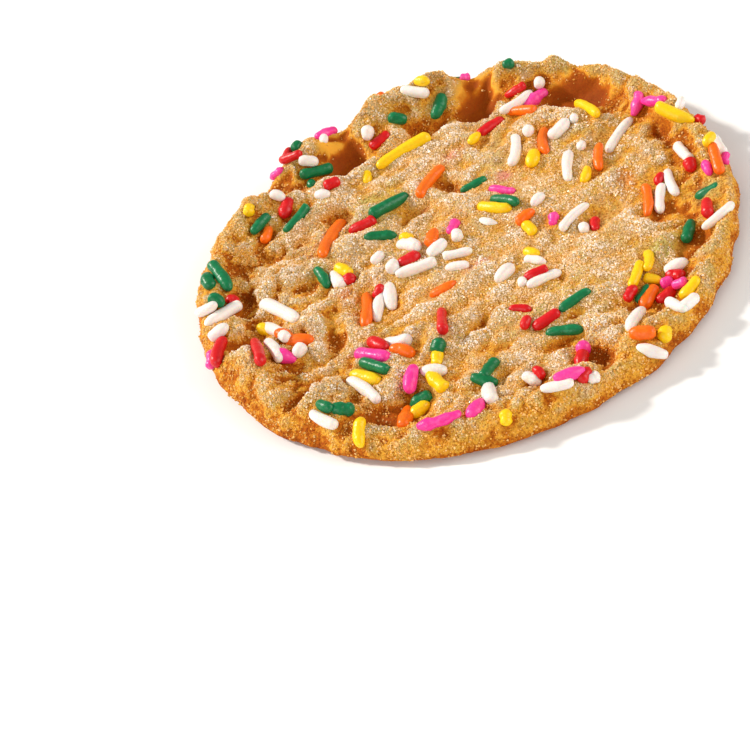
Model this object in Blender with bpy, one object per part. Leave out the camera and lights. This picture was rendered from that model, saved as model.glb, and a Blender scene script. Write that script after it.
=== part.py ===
"""Thin crisp cookie with sprinkles, 90 mm across, lying flat with its baked top up.

The dough is a sphere pressed to a disc whose outline, rim, lumps and hollows are
worked out from the sizes below. The sprinkles lie on it in small groups, half sunk,
and are fused to it, so the cookie is one solid. Metres, +Z up, origin at the middle
of the flat underside.
"""

import math

import bmesh
import bpy
import numpy as np

MM = 0.001

# Dough: sizes of the disc and its rim.
COOKIE_RADIUS = 45.0 * MM
MIDDLE_HEIGHT = 3.5 * MM
RIM_HEIGHT = 5.4 * MM
FAR_RIM_RISE = 1.9 * MM
EDGE_HEIGHT = 1.3 * MM
THINNEST = 1.5 * MM
CREST_AT = 0.915          # share of the radius where the rim is highest
CREST_SHIFT = 0.035       # more to the right, less to the left
CREST_SHIFT_TOWARDS = -15.0  # degrees
RIM_WIDTH = 0.11          # from the rim's inner foot to its crest, as a share
EDGE_WAVE = (5.0, 0.55)   # size of the small waves of the outline and their reach, mm
EDGE_SEED = 15
RELIEF_ENDS_AT = 0.99     # share of the radius where lumps and crinkles fade out
EDGE_FULLNESS = 0.62      # 0.5 rounds the rim's outer face fully, 1 slopes it
BASE_AT = 0.87            # share of the radius that rests on the table
BASE_SNAP = 0.02 * MM     # points this close to the table are laid on it
SPHERE_STEPS = 6
CENTRE_SPREAD = 0.35      # 0 keeps triangles even, 1 crowds them at the edge

# Lobes and creases of the rim: azimuth and half width in degrees, then how far
# each reaches out and how far it rises, in mm.
RIM_LOBES = (
    (100, 30, 0.7, 0.5), (54, 17, 1.9, 0.2), (40, 12, 0.5, 0.2), (29, 13, 1.0, -0.1),
    (74, 10, 0.4, 0.1), (88, 9, 0.4, 0.8), (115, 6, 0.6, 0.7), (142, 9, 0.9, 0.3), (157, 16, 1.5, 0.2),
    (176, 12, 0.4, -0.3), (103, 4.5, -0.7, -1.4), (71, 3, -0.5, -1.0), (127, 5, -0.7, -1.2),
    (47, 3, -0.2, -0.7), (5, 9, -0.1, 0.3), (-32, 28, -1.0, -0.6), (-82, 18, -0.4, 0.2),
    (-140, 12, -0.3, 0.0), (-120, 28, 0.0, -1.3),
)

# Lumps and hollows of the top: place, half length, half width in mm, heading in
# degrees from +X, and rise in mm. Lumps first, from the far rim round to the left.
LUMPS = (
    (-3, 42, 7, 4, 0, 0.9), (8.5, 42.5, 3.5, 3.5, -10, 0.9), (20.5, 40, 3.5, 4, -25, 0.9),
    (27, 36.5, 4, 4, -35, 0.9), (-17.5, 39, 3, 4, 25, 0.7), (-24, 38, 3, 3, 35, 0.7),
    (-31, 31, 4, 4, 45, 0.5), (-3.5, 36.5, 4.5, 3.5, 0, 1.3), (19.5, 33, 5, 4, 20, 1.4),
    (41.3, 11, 2.8, 6, 0, 0.9), (41.5, -1, 2.5, 5, 0, 1.0), (-38.5, -10, 5, 4, 60, 1.6),
    (-37, 3, 5, 1.7, 12, 1.6), (-27.5, -1.8, 6.5, 2, 25, 1.5), (-29, 11.5, 7, 3.5, -14, 1.5),
    (-31, -26, 5, 4.2, -50, 1.7), (-36.5, -18, 4, 3, -60, 1.0), (-1.4, 16.6, 4.4, 2.5, -32, 1.5),
    (-15, -39, 7, 2.6, -12, 0.9), (2.5, -39.8, 6, 2.4, 3, 1.0), (-12, -34.5, 4, 2.5, 0, 0.7),
    (17, -37.5, 5, 3, 15, 0.6), (-4, -28, 5, 3.5, 20, 1.0), (6, -34, 3.5, 3, 40, 0.8),
    (-7, -15, 7, 4, 30, 0.7), (17, -11, 8, 3, 30, 0.8), (25, 17, 9, 5, 60, 0.8),
    (-17, 26, 8, 4, 40, 0.8), (2, 29, 8, 3, 10, 0.8), (-14, 12, 7, 3.5, 30, 0.7),
    (11, 3, 5, 4, 40, 0.7), (-6, 2, 6, 4, 0, 0.5), (34, 6, 3, 6, -10, 0.6), (32, -24, 5, 3, 45, 0.5),
    (0, -8, 6, 3, -10, 0.6), (-24, -14, 4, 3, 20, 0.8), (14, -20, 5, 3, 10, 0.6),
    (25.3, 23.2, 6, 2.2, -42, 0.9), (-11, 30.3, 8, 2, 12, 0.9), (13, 31.5, 4, 1.8, -10, 0.7),
    (2.6, 10.5, 4.6, 2.2, -68, 1.3), (4.4, 3.0, 4.6, 2.0, -74, 0.8),
)
HOLLOWS = (
    (-12.3, 36.5, 4, 5.5, 5, -3.0), (13.7, 37.5, 4.4, 5, -15, -3.0), (29.3, 27.6, 6.8, 3.4, -42, -3.0),
    (-23.5, 33, 3, 3.5, 35, -2.2), (-36.3, 13.5, 2.8, 6, 5, -2.6), (-38.5, 6.6, 3.8, 2.1, 0, -2.5),
    (-39.5, -2.6, 3.8, 2.5, -15, -2.6), (-33.5, 22.5, 2.2, 5, -35, -1.9), (5.5, 35.5, 5, 2.2, 0, -2.0),
    (1.7, 17.4, 2.4, 3.4, 20, -1.9), (-26.8, 6, 3.2, 2, 25, -2.0), (-24.6, -6.5, 1.8, 5, -12, -2.0),
    (-16.3, -5, 5, 5, 0, -1.8), (32.2, -10, 4, 3.2, 0, -2.4), (32.5, -19.5, 3.6, 3, 20, -2.4),
    (22.5, -27, 5.5, 4.5, 10, -2.0), (10.8, -36, 2.2, 4, 10, -2.4), (-20.5, -30, 5.5, 2.4, -8, -2.6),
    (-33, -20.5, 4.5, 1.8, 35, -2.1), (37.5, 10, 1.5, 6, 5, -1.6), (22.5, -4.5, 5, 2.6, 30, -1.7),
    (8, -29.8, 4, 2, -10, -1.7), (-1.5, -22, 3, 5, 10, -1.4), (27, 6.5, 5, 2, 25, -1.4),
    (-35, -1, 2, 3, 30, -1.0), (-5.5, 13.5, 2.5, 4, -50, -1.0), (-31, 18, 4, 2, 20, -1.2),
)

# Crinkles of the dough: cell length and width in mm, heading in degrees, rise in mm
# and seed of each layer. The folded ones are rounded ridges with a crease between.
CRINKLES = ((13.0, 10.0, 20, 0.8, 11), (4.2, 2.8, 30, 0.35, 13))
FOLDS = ((9.5, 6.0, 14, 2.3, 12), (5.2, 3.8, 25, 1.2, 14))
FOLD_SOFTNESS = 0.08
FOLD_MEAN = 0.35
CALM_PLACE = (13.0, 2.0)  # middle of the part of the floor with the lowest folds, mm
CALM_REACH = (27.0, 18.0) # how far it reaches along X and Y, mm
CALM_SHARE = 0.65         # share of the folds that is missing there

# Sprinkles: thickness, its spread, how deep they sink, and their faceting.
SPRINKLE_THICKNESS = 1.7 * MM
THICKNESS_SPREAD = 0.12
THICK_ONES = 1.2          # how much thicker the ones with a capital letter are
SUNK_SHARE = 0.36         # share of the thickness below the dough
SUNK_SPREAD = 0.08
DEEP_SUNK_SHARE = 0.78    # the same for the ones marked ~
SIDE_BY_SIDE = 1.8 * MM   # from one sprinkle of a group to the next
HEADING_SPREAD = 3.0      # degrees
SLOPE_LIMITS = (-0.3, 0.45)  # steepest slope, down and up, that a sprinkle follows
SLOPE_SPAN = 0.8          # how far from its middle the slope is read, as a share of half its length
BEND_SHARE = 0.07         # largest sideways bow, as a share of the length
BLUNTNESS = 0.4           # 1 gives round ends, less gives fuller ones
SPRINKLE_SIDES = 5
SPRINKLE_RINGS = 4
SPRINKLE_SEED = 2024
KEPT_SHARE = 0.44         # share of the triangles kept after fusing

# Groups are placed as seen from the front, 40.5 degrees above the table, at the
# height SEEN_HEIGHT, and slid back along that line of sight onto the dough.
SIGHT_SLOPE = 1.0 / math.tan(math.radians(40.5))
SEEN_HEIGHT = 2.3 * MM
SIGHT_TOP = 12.0 * MM
SIGHT_STEP = 0.05 * MM

# Groups of sprinkles: place in mm, heading in degrees, and each sprinkle's colour
# letter and length in mm, also as seen. The sprinkles of a group lie side by side, from
# the left of the heading to its right. A ~ marks one that is nearly covered by dough, a
# capital letter one that is thicker.
SPRINKLE_GROUPS = (
    # far rim
    (-0.8, 41.5, 140, "G4"), (6.6, 40.3, 62, "G6.5"), (3.8, 46.6, 138, "W6"), (5.6, 48.2, 140, "Y3"),
    (-6.6, 40.6, 70, "W2"), (-5.1, 37.9, 24, "R4.5"), (-13.3, 47.7, 10, "P4"), (-14.1, 43.8, 85, "w2"),
    (-18.9, 45.4, 50, "g2"), (-20.9, 44.4, 60, "r4"), (-20.6, 42.6, 172, "r4"), (-18.0, 39.4, 140, "W4"),
    (-17.4, 36.1, 172, "G6"), (-23.9, 44.8, 20, "p3"),
    (-19.1, 33.3, 80, "g2"), (-15.8, 31.0, 0, "R3"), (-18.0, 29.0, 150, "W3"), (-25.2, 33.0, 128, "W3.5"),
    (-30.5, 31.9, 75, "Y3"), (-29.7, 27.5, 40, "g5"), (-24.6, 29.3, 66, "R5"), (-23.7, 25.6, 40, "g7"),
    (-29.4, 24.2, 62, "O4"), (-2.2, 32.1, 16, "Y11"), (20.6, 43.7, 160, "g2"), (19.9, 36.3, 12, "r4"),
    (19.1, 33.6, 18, "w7"), (24.1, 35.6, 70, "W2"), (22.5, 32.0, 28, "P5"), (19.2, 29.9, 142, "o5"),
    (13.4, 29.1, 18, "r5.5"), (9.8, 27.8, 35, "y3"), (13.2, 49.6, 150, "p2"), (41.9, 14.9, 60, "w3"),
    (43.6, 8.8, 120, "r2"),
    # right side
    (28.9, 24.0, 108, "Y6"), (23.1, 21.4, 32, "W5"), (26.1, 22.2, 70, "w2"), (18.4, 23.9, 72, "W2"),
    (20.2, 19.5, 73, "o7"), (14.6, 20.1, 66, "w8"), (36.4, 19.4, 66, "p6"), (38.8, 18.3, 135, "p4"),
    (40.5, 13.1, 123, "Y9"), (16.7, 16.0, 62, "Y4"), (21.4, 10.6, 74, "w8"), (24.9, 14.5, 58, "w2"),
    (26.7, 10.2, 73, "o7"), (31.6, 13.3, 42, "w9"), (23.1, 6.7, 58, "y4"), (38.7, 2.6, 90, "w5"),
    (38.5, -1.5, 84, "R3"), (40.2, -3.4, 84, "p4"), (42.1, -2.2, 84, "o8"), (43.6, -2.9, 60, "p3"),
    (42.6, 3.0, 40, "y3"), (44.2, 1.0, 92, "w6"),
    (38.6, -8.0, 10, "g4~"), (36.9, -12.8, 68, "R4"), (37.5, -15.2, 24, "w7"), (32.7, -16.2, 56, "g5"),
    (29.4, -5.1, 76, "o8"), (31.8, -6.3, 70, "w7"), (34.6, -3.7, 86, "w7"), (33.2, -1.4, 52, "r3"),
    (18.0, -2.2, 30, "w7"), (15.0, -1.0, 62, "p3"), (18.5, -6.0, 80, "w2"), (20.5, -6.3, 74, "r3"),
    # middle
    (-8.4, 18.6, 14, "G7.5"), (-13.8, 16.5, 4, "R5"), (-11.8, 11.5, 154, "g6"), (-0.2, 20.6, 40, "O8"),
    (-19.2, 16.1, 54, "O9"), (6.0, 15.9, 10, "g5"), (7.3, 7.6, 138, "Y6"), (9.2, 8.4, 130, "g5"),
    (9.8, 11.1, 134, "p5"), (-13.6, 6.8, 35, "W3"), (-8.4, 6.8, 138, "W4"), (-8.0, 8.6, 130, "y3"),
    (-9.0, 3.5, 4, "R4"), (-12.0, 3.0, 60, "W2"), (-8.6, 1.1, 178, "w7"),
    (-4.0, 6.2, 66, "O4"), (-4.2, 3.2, 24, "W4"), (-0.3, 6.8, 50, "p3"), (-0.4, 4.5, 80, "W2"),
    (-1.5, 0.0, 164, "w5"), (-2.5, -3.1, 160, "w4"), (-6.0, -7.0, 14, "o5"),
    (5.3, 5.4, 128, "w4~"), (14.0, 5.0, 35, "w3"), (10.9, 2.2, 26, "O4"), (10.6, -0.9, 102, "y4"),
    (3.8, -9.2, 28, "W4"), (9.1, -9.0, 135, "w4"), (9.2, -6.7, 130, "y3"), (8.2, -12.0, 2, "r4"),
    (5.6, -12.6, 80, "w2"), (9.0, -14.0, 0, "w6"), (-8.3, -14.0, 72, "r5"), (-9.8, 30.0, 78, "y4~"),
    # left side
    (-40.9, 18.0, 96, "G4"), (-38.9, 18.0, 98, "G9"), (-40.8, 12.2, 116, "G4"),
    (-42.8, 11.4, 4, "w4"), (-40.6, 8.2, 20, "W7"), (-38.4, 10.9, 118, "R3"),
    (-42.0, 4.0, 22, "W4"), (-42.8, -0.4, 68, "R6.5"), (-44.7, -1.4, 70, "P4.5"),
    (-31.7, 3.0, 122, "W9"), (-34.8, 0.2, 128, "Y4"), (-33.4, -0.8, 122, "W6"),
    (-37.0, -4.2, 92, "R6"), (-34.7, -4.8, 98, "w6"), (-32.2, -3.8, 118, "O5"),
    (-33.2, -8.0, 126, "P5"), (-30.2, -5.8, 150, "O5"), (-30.7, -8.0, 40, "W2.5"),
    (-23.3, 7.4, 97, "G6"), (-21.0, 5.3, 97, "W5"), (-19.6, 7.1, 118, "Y4"), (-19.3, 4.4, 78, "R3"),
    (-18.7, -5.3, 70, "O8"), (-16.3, -5.5, 66, "W7"), (-14.0, -3.9, 80, "W7"), (-15.6, -1.2, 50, "r3"),
    # near side
    (-30.8, -25.5, 124, "W6"), (-29.9, -22.8, 128, "G3"), (-27.5, -24.8, 142, "G4"),
    (-26.3, -31.0, 74, "Y6.5"), (-23.7, -22.9, 112, "W8"), (-22.7, -19.7, 132, "Y6"),
    (-20.7, -18.4, 130, "G5.5"), (-20.4, -15.8, 140, "P6"), (-18.9, -14.0, 122, "R4"),
    (-16.1, -14.6, 160, "W4.5"), (-15.9, -17.4, 130, "O5"), (-16.2, -24.6, 66, "P6"),
    (-10.4, -19.5, 60, "G2"), (-11.3, -22.0, 70, "Y4"), (-12.6, -24.5, 150, "W4.5"),
    (-12.7, -27.0, 106, "Y5.5"),
    (-16.2, -29.9, 20, "G4"), (-16.8, -31.8, 28, "Y4"), (-19.2, -32.4, 60, "O4"), (-14.9, -35.1, 172, "p7"),
    (-9.2, -35.9, 40, "P4"), (-4.8, -28.9, 42, "g4"), (-6.2, -30.8, 134, "g5"), (-6.2, -34.2, 82, "W3.5"),
    (0.2, -34.6, 118, "W4"), (1.5, -33.9, 102, "r3"), (9.3, -32.6, 62, "P3"), (8.3, -34.9, 62, "R4"),
    (5.2, -36.2, 174, "P5"), (7.2, -37.7, 40, "r3"), (8.3, -39.0, 0, "w2"), (2.9, -37.5, 164, "w5"),
    (-5.7, -40.0, 76, "Y3.5"), (3.5, -18.6, 142, "r4"), (3.3, -22.1, 58, "r3"), (6.3, -23.4, 20, "r5"),
    (11.5, -21.5, 18, "g6"), (8.0, -27.3, 156, "g6"), (21.7, -21.1, 56, "y6"), (24.4, -19.4, 64, "y4"),
    (23.9, -23.7, 134, "y3.5"), (19.7, -25.0, 45, "r3.5"), (21.4, -25.8, 46, "g4"), (22.1, -27.5, 46, "O5"),
    (27.3, -24.9, 140, "R3"), (25.6, -25.9, 0, "p2"), (26.9, -26.9, 0, "p2"), (24.6, -28.3, 24, "R4"),
    (27.7, -28.8, 40, "Y5"), (28.0, -22.9, 5, "W4"), (24.5, -30.8, 116, "W4"), (26.1, -31.6, 22, "W4"),
    (18.3, -31.3, 40, "W5"), (17.7, -34.1, 155, "O4"), (20.9, -36.3, 70, "Y3.5"), (17.9, -38.2, 132, "W6"),
)

# Groups on the outer slope of the far rim, out of sight from the front: true places.
BACK_GROUPS = (
    (-3.5, 44.4, 172, "o5"), (4.6, 44.4, 20, "w4"), (11.2, 44.0, 160, "g5"), (34.3, 31.6, 130, "w5"),
)

DOUGH_COLOUR = (0.62, 0.36, 0.13, 1.0)
DOUGH_ROUGHNESS = 0.75
SPRINKLE_COLOURS = {
    "w": (0.87, 0.83, 0.78, 1.0),
    "r": (0.62, 0.01, 0.02, 1.0),
    "o": (0.85, 0.16, 0.01, 1.0),
    "y": (0.92, 0.60, 0.01, 1.0),
    "g": (0.00, 0.19, 0.06, 1.0),
    "p": (0.87, 0.04, 0.28, 1.0),
}
SPRINKLE_ROUGHNESS = 0.3


def smooth_step(t):
    """Rise from 0 to 1 as t goes from 0 to 1, level at both ends."""
    t = np.clip(t, 0.0, 1.0)
    return t * t * (3.0 - 2.0 * t)


def gradient_noise(x, y, cell, seed):
    """Smooth noise between about -1 and 1, with one random slope at each grid corner.

    cell is a cell's length and width in mm and its heading in degrees.
    """
    size = 64
    angles = np.random.default_rng(seed).uniform(0.0, 2.0 * math.pi, (size, size))
    length, width, heading = cell
    turn = math.radians(heading)
    u = (x * math.cos(turn) + y * math.sin(turn)) / (length * MM) + size / 2
    v = (y * math.cos(turn) - x * math.sin(turn)) / (width * MM) + size / 2
    column = np.floor(u).astype(int)
    row = np.floor(v).astype(int)
    u = u - column
    v = v - row
    fade_u = u ** 3 * (u * (6.0 * u - 15.0) + 10.0)
    fade_v = v ** 3 * (v * (6.0 * v - 15.0) + 10.0)
    total = 0.0
    for step_u in (0, 1):
        for step_v in (0, 1):
            angle = angles[(column + step_u) % size, (row + step_v) % size]
            slope = np.cos(angle) * (u - step_u) + np.sin(angle) * (v - step_v)
            weight_u = fade_u if step_u else 1.0 - fade_u
            weight_v = fade_v if step_v else 1.0 - fade_v
            total = total + slope * weight_u * weight_v
    return total * 1.5


def rim_shape(azimuth):
    """Radius of the edge and height of the rim at an azimuth, with lobes and creases."""
    wave_size, wave_reach = EDGE_WAVE
    wave_cell = (wave_size, wave_size, 0.0)
    around = COOKIE_RADIUS * np.cos(azimuth), COOKIE_RADIUS * np.sin(azimuth)
    radius = COOKIE_RADIUS + wave_reach * MM * gradient_noise(*around, wave_cell, EDGE_SEED)
    crest = RIM_HEIGHT + FAR_RIM_RISE * np.clip(np.sin(azimuth), 0.0, 1.0)
    for middle, half_width, reach, rise in RIM_LOBES:
        turn = (np.degrees(azimuth) - middle + 180.0) % 360.0 - 180.0
        weight = np.exp(-((turn / half_width) ** 2))
        radius = radius + reach * MM * weight
        crest = crest + rise * MM * weight
    return radius, crest


def add_swells(x, y, swells):
    """Sum of rounded swells, each flat on top and steep at its sides."""
    total = np.zeros_like(x)
    for place_x, place_y, along, across, heading, rise in swells:
        turn = math.radians(heading)
        shift_x = x - place_x * MM
        shift_y = y - place_y * MM
        u = (shift_x * math.cos(turn) + shift_y * math.sin(turn)) / (along * MM)
        v = (shift_y * math.cos(turn) - shift_x * math.sin(turn)) / (across * MM)
        total = total + rise * MM * np.exp(-((u * u + v * v) ** 1.5))
    return total


def top_height(x, y):
    """Height of the baked top: floor, rim, lumps, hollows and crinkles."""
    azimuth = np.arctan2(y, x)
    radius, crest = rim_shape(azimuth)
    share = np.clip(np.hypot(x, y) / radius, 0.0, 1.0)
    crest_at = CREST_AT + CREST_SHIFT * np.cos(azimuth - math.radians(CREST_SHIFT_TOWARDS))
    rise = smooth_step((share - crest_at + RIM_WIDTH) / RIM_WIDTH)
    inner = MIDDLE_HEIGHT + (crest - MIDDLE_HEIGHT) * rise
    roll = np.clip((share - crest_at) / (1.0 - crest_at), 0.0, 1.0)
    outer = EDGE_HEIGHT + (inner - EDGE_HEIGHT) * (1.0 - roll * roll) ** EDGE_FULLNESS
    relief = add_swells(x, y, LUMPS) + add_swells(x, y, HOLLOWS)
    for *cell, layer_rise, seed in CRINKLES:
        relief = relief + layer_rise * MM * gradient_noise(x, y, cell, seed)
    calm_x = (x / MM - CALM_PLACE[0]) / CALM_REACH[0]
    calm_y = (y / MM - CALM_PLACE[1]) / CALM_REACH[1]
    lively = 1.0 - CALM_SHARE * np.exp(-(calm_x ** 2) - calm_y ** 2)
    for *cell, layer_rise, seed in FOLDS:
        folded = np.hypot(gradient_noise(x, y, cell, seed), FOLD_SOFTNESS)
        relief = relief + lively * layer_rise * MM * (folded - FOLD_MEAN)
    fade = smooth_step((RELIEF_ENDS_AT - share) / (RELIEF_ENDS_AT - crest_at))
    least = EDGE_HEIGHT + (THINNEST - EDGE_HEIGHT) * smooth_step((1.0 - share) / RIM_WIDTH)
    return np.maximum(outer + relief * fade, least)


def underside_height(x, y):
    """Height of the underside: flat on the table, curling up to the edge."""
    radius, _ = rim_shape(np.arctan2(y, x))
    share = np.clip(np.hypot(x, y) / radius, 0.0, 1.0)
    curl = np.clip((share - BASE_AT) / (1.0 - BASE_AT), 0.0, 1.0)
    return EDGE_HEIGHT * (1.0 - np.sqrt(1.0 - curl * curl))


def new_collection(name):
    """Add a collection to the scene."""
    collection = bpy.data.collections.new(name)
    bpy.context.scene.collection.children.link(collection)
    return collection


def new_material(name, colour, roughness):
    """Make a Principled BSDF material."""
    material = bpy.data.materials.new(name)
    material.use_nodes = True
    shader = material.node_tree.nodes["Principled BSDF"]
    shader.inputs["Base Color"].default_value = colour
    shader.inputs["Roughness"].default_value = roughness
    shader.inputs["Metallic"].default_value = 0.0
    material.diffuse_color = colour
    return material


def mesh_object(name, bm, collection, material):
    """Turn a bmesh into an object with one material, and free the bmesh."""
    mesh = bpy.data.meshes.new(name)
    bm.to_mesh(mesh)
    bm.free()
    mesh.materials.append(material)
    made = bpy.data.objects.new(name, mesh)
    collection.objects.link(made)
    return made


def press_sphere(bm):
    """Press a unit sphere flat: its upper half becomes the top, its lower the underside."""
    points = np.array([vertex.co for vertex in bm.verts])
    azimuth = np.arctan2(points[:, 1], points[:, 0])
    level = np.abs(points[:, 2])
    even = np.sqrt(np.clip(1.0 - level, 0.0, 1.0))
    crowded = np.sqrt(np.clip(1.0 - level * level, 0.0, 1.0))
    share = (1.0 - CENTRE_SPREAD) * even + CENTRE_SPREAD * crowded
    reach = share * rim_shape(azimuth)[0]
    x = reach * np.cos(azimuth)
    y = reach * np.sin(azimuth)
    is_top = points[:, 2] > 0.0
    z = np.where(is_top, top_height(x, y), underside_height(x, y))
    for vertex, place in zip(bm.verts, np.column_stack((x, y, z))):
        vertex.co = place


def join_flat_base(bm):
    """Join the faces that rest on the table into one flat face, then split it again."""
    for vertex in bm.verts:
        if vertex.co.z < BASE_SNAP:
            vertex.co.z = 0.0
    flat = [face for face in bm.faces if all(vertex.co.z == 0.0 for vertex in face.verts)]
    joined = bmesh.ops.dissolve_faces(bm, faces=flat, use_verts=True)["region"]
    bmesh.ops.triangulate(bm, faces=joined)


def make_dough(collection, material):
    """Make the dough from a sphere."""
    bm = bmesh.new()
    bmesh.ops.create_icosphere(bm, subdivisions=SPHERE_STEPS, radius=1.0)
    press_sphere(bm)
    join_flat_base(bm)
    return mesh_object("cookie", bm, collection, material)


def slide_to_dough(seen_x, seen_y):
    """Slide a place seen at SEEN_HEIGHT along the line of sight onto the dough.

    The line is followed down from SIGHT_TOP to the first point inside the dough, or
    to the point where it passes closest over the rim.
    """
    z = np.arange(SIGHT_TOP, 0.0, -SIGHT_STEP)
    y = seen_y - (z - SEEN_HEIGHT) * SIGHT_SLOPE
    x = np.full_like(y, seen_x)
    is_over = np.hypot(x, y) < rim_shape(np.arctan2(y, x))[0]
    depth = np.where(is_over, top_height(x, y) - z, -SIGHT_TOP)
    hit = np.argmax(depth > 0.0) if np.any(depth > 0.0) else np.argmax(depth)
    return seen_x, float(y[hit])


def group_places():
    """Give each group's true place, heading, sprinkles and the slope of its line of sight."""
    for x, y, heading, group in SPRINKLE_GROUPS:
        yield (*slide_to_dough(x * MM, y * MM), heading, group, SIGHT_SLOPE)
    for x, y, heading, group in BACK_GROUPS:
        yield x * MM, y * MM, heading, group, 0.0


def true_direction(x, y, turn, span, sight):
    """Turn and tilt a sprinkle until it has the heading turn where it lies on the slope.

    Seen along the line of sight, a step (run_x, run_y, rise) looks like the level step
    (run_x, run_y + rise * sight). The result is the true step that looks like a level
    step of length 1 along turn.
    """
    x = x + span * np.array([-1.0, 1.0, 0.0, 0.0])
    y = y + span * np.array([0.0, 0.0, -1.0, 1.0])
    heights = top_height(x, y)
    slope_x, slope_y = np.clip((heights[1::2] - heights[::2]) / (2.0 * span), *SLOPE_LIMITS)
    run_x = math.cos(turn)
    run_y = (math.sin(turn) - sight * slope_x * run_x) / (1.0 + sight * slope_y)
    return np.array([run_x, run_y, slope_x * run_x + slope_y * run_y])


def sprinkle_places():
    """Work out each sprinkle: colour, length, thickness, middle, heading, bend, depth."""
    rng = np.random.default_rng(SPRINKLE_SEED)
    places = []
    for middle_x, middle_y, heading, group, sight in group_places():
        codes = group.split()
        turn = math.radians(heading)
        for index, code in enumerate(codes):
            side = (index - (len(codes) - 1) / 2) * SIDE_BY_SIDE
            draw = rng.uniform(-1.0, 1.0, 4)
            length = float(code[1:].rstrip("~")) * MM
            growth = THICK_ONES if code[0].isupper() else 1.0
            x = middle_x + side * math.sin(turn)
            y = middle_y - side * math.cos(turn)
            seen_turn = turn + math.radians(HEADING_SPREAD) * draw[1]
            step = true_direction(x, y, seen_turn, SLOPE_SPAN * length / 2, sight)
            places.append({
                "colour": code[0].lower(),
                "length": length * np.linalg.norm(step),
                "thickness": SPRINKLE_THICKNESS * growth * (1.0 + THICKNESS_SPREAD * draw[0]),
                "x": x,
                "y": y,
                "turn": math.atan2(step[1], step[0]),
                "tilt": math.atan2(step[2], math.hypot(step[0], step[1])),
                "bend": BEND_SHARE * draw[2],
                "sunk": DEEP_SUNK_SHARE if "~" in code else SUNK_SHARE + SUNK_SPREAD * draw[3],
            })
    return places


def lay_sprinkle(bm, place):
    """Stretch a unit sphere into one sprinkle and lay it on the dough."""
    radius = place["thickness"] / 2
    half = max(place["length"] / 2 - radius, 0.15 * radius)
    along = np.array([math.cos(place["turn"]), math.sin(place["turn"])])
    across = np.array([-along[1], along[0]])
    middle = np.array([place["x"], place["y"]])
    ends = np.array([middle - along * half * 0.8, middle, middle + along * half * 0.8])
    heights = top_height(ends[:, 0], ends[:, 1])
    tilt = place["tilt"]
    lift = 0.6 * heights[1] + 0.2 * (heights[0] + heights[2])
    lift += place["thickness"] * (0.5 - place["sunk"])
    for vertex in bm.verts:
        run = vertex.co.z
        is_tip = abs(run) > 0.99
        blunt = 0.0 if is_tip else math.hypot(vertex.co.x, vertex.co.y) ** (BLUNTNESS - 1.0)
        aside, up = vertex.co.x * blunt, vertex.co.y * blunt
        station = half * np.sign(round(run, 3)) + radius * run
        bow = place["bend"] * place["length"] * (1.0 - (station / (half + radius)) ** 2)
        level = station * math.cos(tilt) - radius * up * math.sin(tilt)
        spot = middle + along * level + across * (radius * aside + bow)
        rise = station * math.sin(tilt) + radius * up * math.cos(tilt)
        vertex.co = (spot[0], spot[1], lift + rise)


def make_sprinkles(collection, materials):
    """Make every sprinkle as its own closed solid."""
    made = []
    for number, place in enumerate(sprinkle_places(), start=1):
        bm = bmesh.new()
        bmesh.ops.create_uvsphere(bm, u_segments=SPRINKLE_SIDES, v_segments=SPRINKLE_RINGS, radius=1.0)
        lay_sprinkle(bm, place)
        bmesh.ops.recalc_face_normals(bm, faces=bm.faces)
        material = materials[place["colour"]]
        made.append(mesh_object(f"sprinkle_{number:03d}", bm, collection, material))
    return made


def fuse(dough, sprinkles, collection):
    """Join the sprinkles to the dough with one Boolean union, thin it, and remove them."""
    union = dough.modifiers.new("sprinkles", "BOOLEAN")
    union.operation = "UNION"
    union.operand_type = "COLLECTION"
    union.collection = collection
    union.solver = "EXACT"
    union.material_mode = "TRANSFER"
    dough.modifiers.new("triangles", "TRIANGULATE")
    thin = dough.modifiers.new("thin", "DECIMATE")
    thin.ratio = KEPT_SHARE
    evaluated = dough.evaluated_get(bpy.context.evaluated_depsgraph_get())
    fused = bpy.data.meshes.new_from_object(evaluated)
    dough.modifiers.clear()
    bare = dough.data
    dough.data = fused
    bpy.data.meshes.remove(bare)
    for sprinkle in sprinkles:
        bpy.data.objects.remove(sprinkle, do_unlink=True)
    bpy.data.collections.remove(collection)


def connected_shells(bm):
    """Split the faces into groups that share edges."""
    left = set(bm.faces)
    shells = []
    while left:
        start = left.pop()
        shell = [start]
        stack = [start]
        while stack:
            for edge in stack.pop().edges:
                for face in edge.link_faces:
                    if face in left:
                        left.remove(face)
                        shell.append(face)
                        stack.append(face)
        shells.append(shell)
    return shells


def keep_outer_skin(cookie):
    """Fill the hollows that fusing sealed, and drop loose scraps."""
    bm = bmesh.new()
    bm.from_mesh(cookie.data)
    bmesh.ops.triangulate(bm, faces=bm.faces)
    shells = sorted(connected_shells(bm), key=len)
    scraps = [face for shell in shells[:-1] for face in shell]
    bmesh.ops.delete(bm, geom=scraps, context="FACES")
    join_flat_base(bm)
    bm.to_mesh(cookie.data)
    bm.free()
    cookie.data.shade_smooth()
    cookie.data.set_sharp_from_angle(angle=math.radians(50))


def main():
    """Build the cookie."""
    for old in list(bpy.data.objects):
        bpy.data.objects.remove(old, do_unlink=True)
    cookie_parts = new_collection("thin_crisp_cookie")
    sprinkle_solids = new_collection("sprinkle_solids")
    dough_finish = new_material("baked_dough", DOUGH_COLOUR, DOUGH_ROUGHNESS)
    sprinkle_finishes = {
        letter: new_material(f"sprinkle_{letter}", colour, SPRINKLE_ROUGHNESS)
        for letter, colour in SPRINKLE_COLOURS.items()
    }
    cookie = make_dough(cookie_parts, dough_finish)
    sprinkles = make_sprinkles(sprinkle_solids, sprinkle_finishes)
    fuse(cookie, sprinkles, sprinkle_solids)
    keep_outer_skin(cookie)


main()
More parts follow.
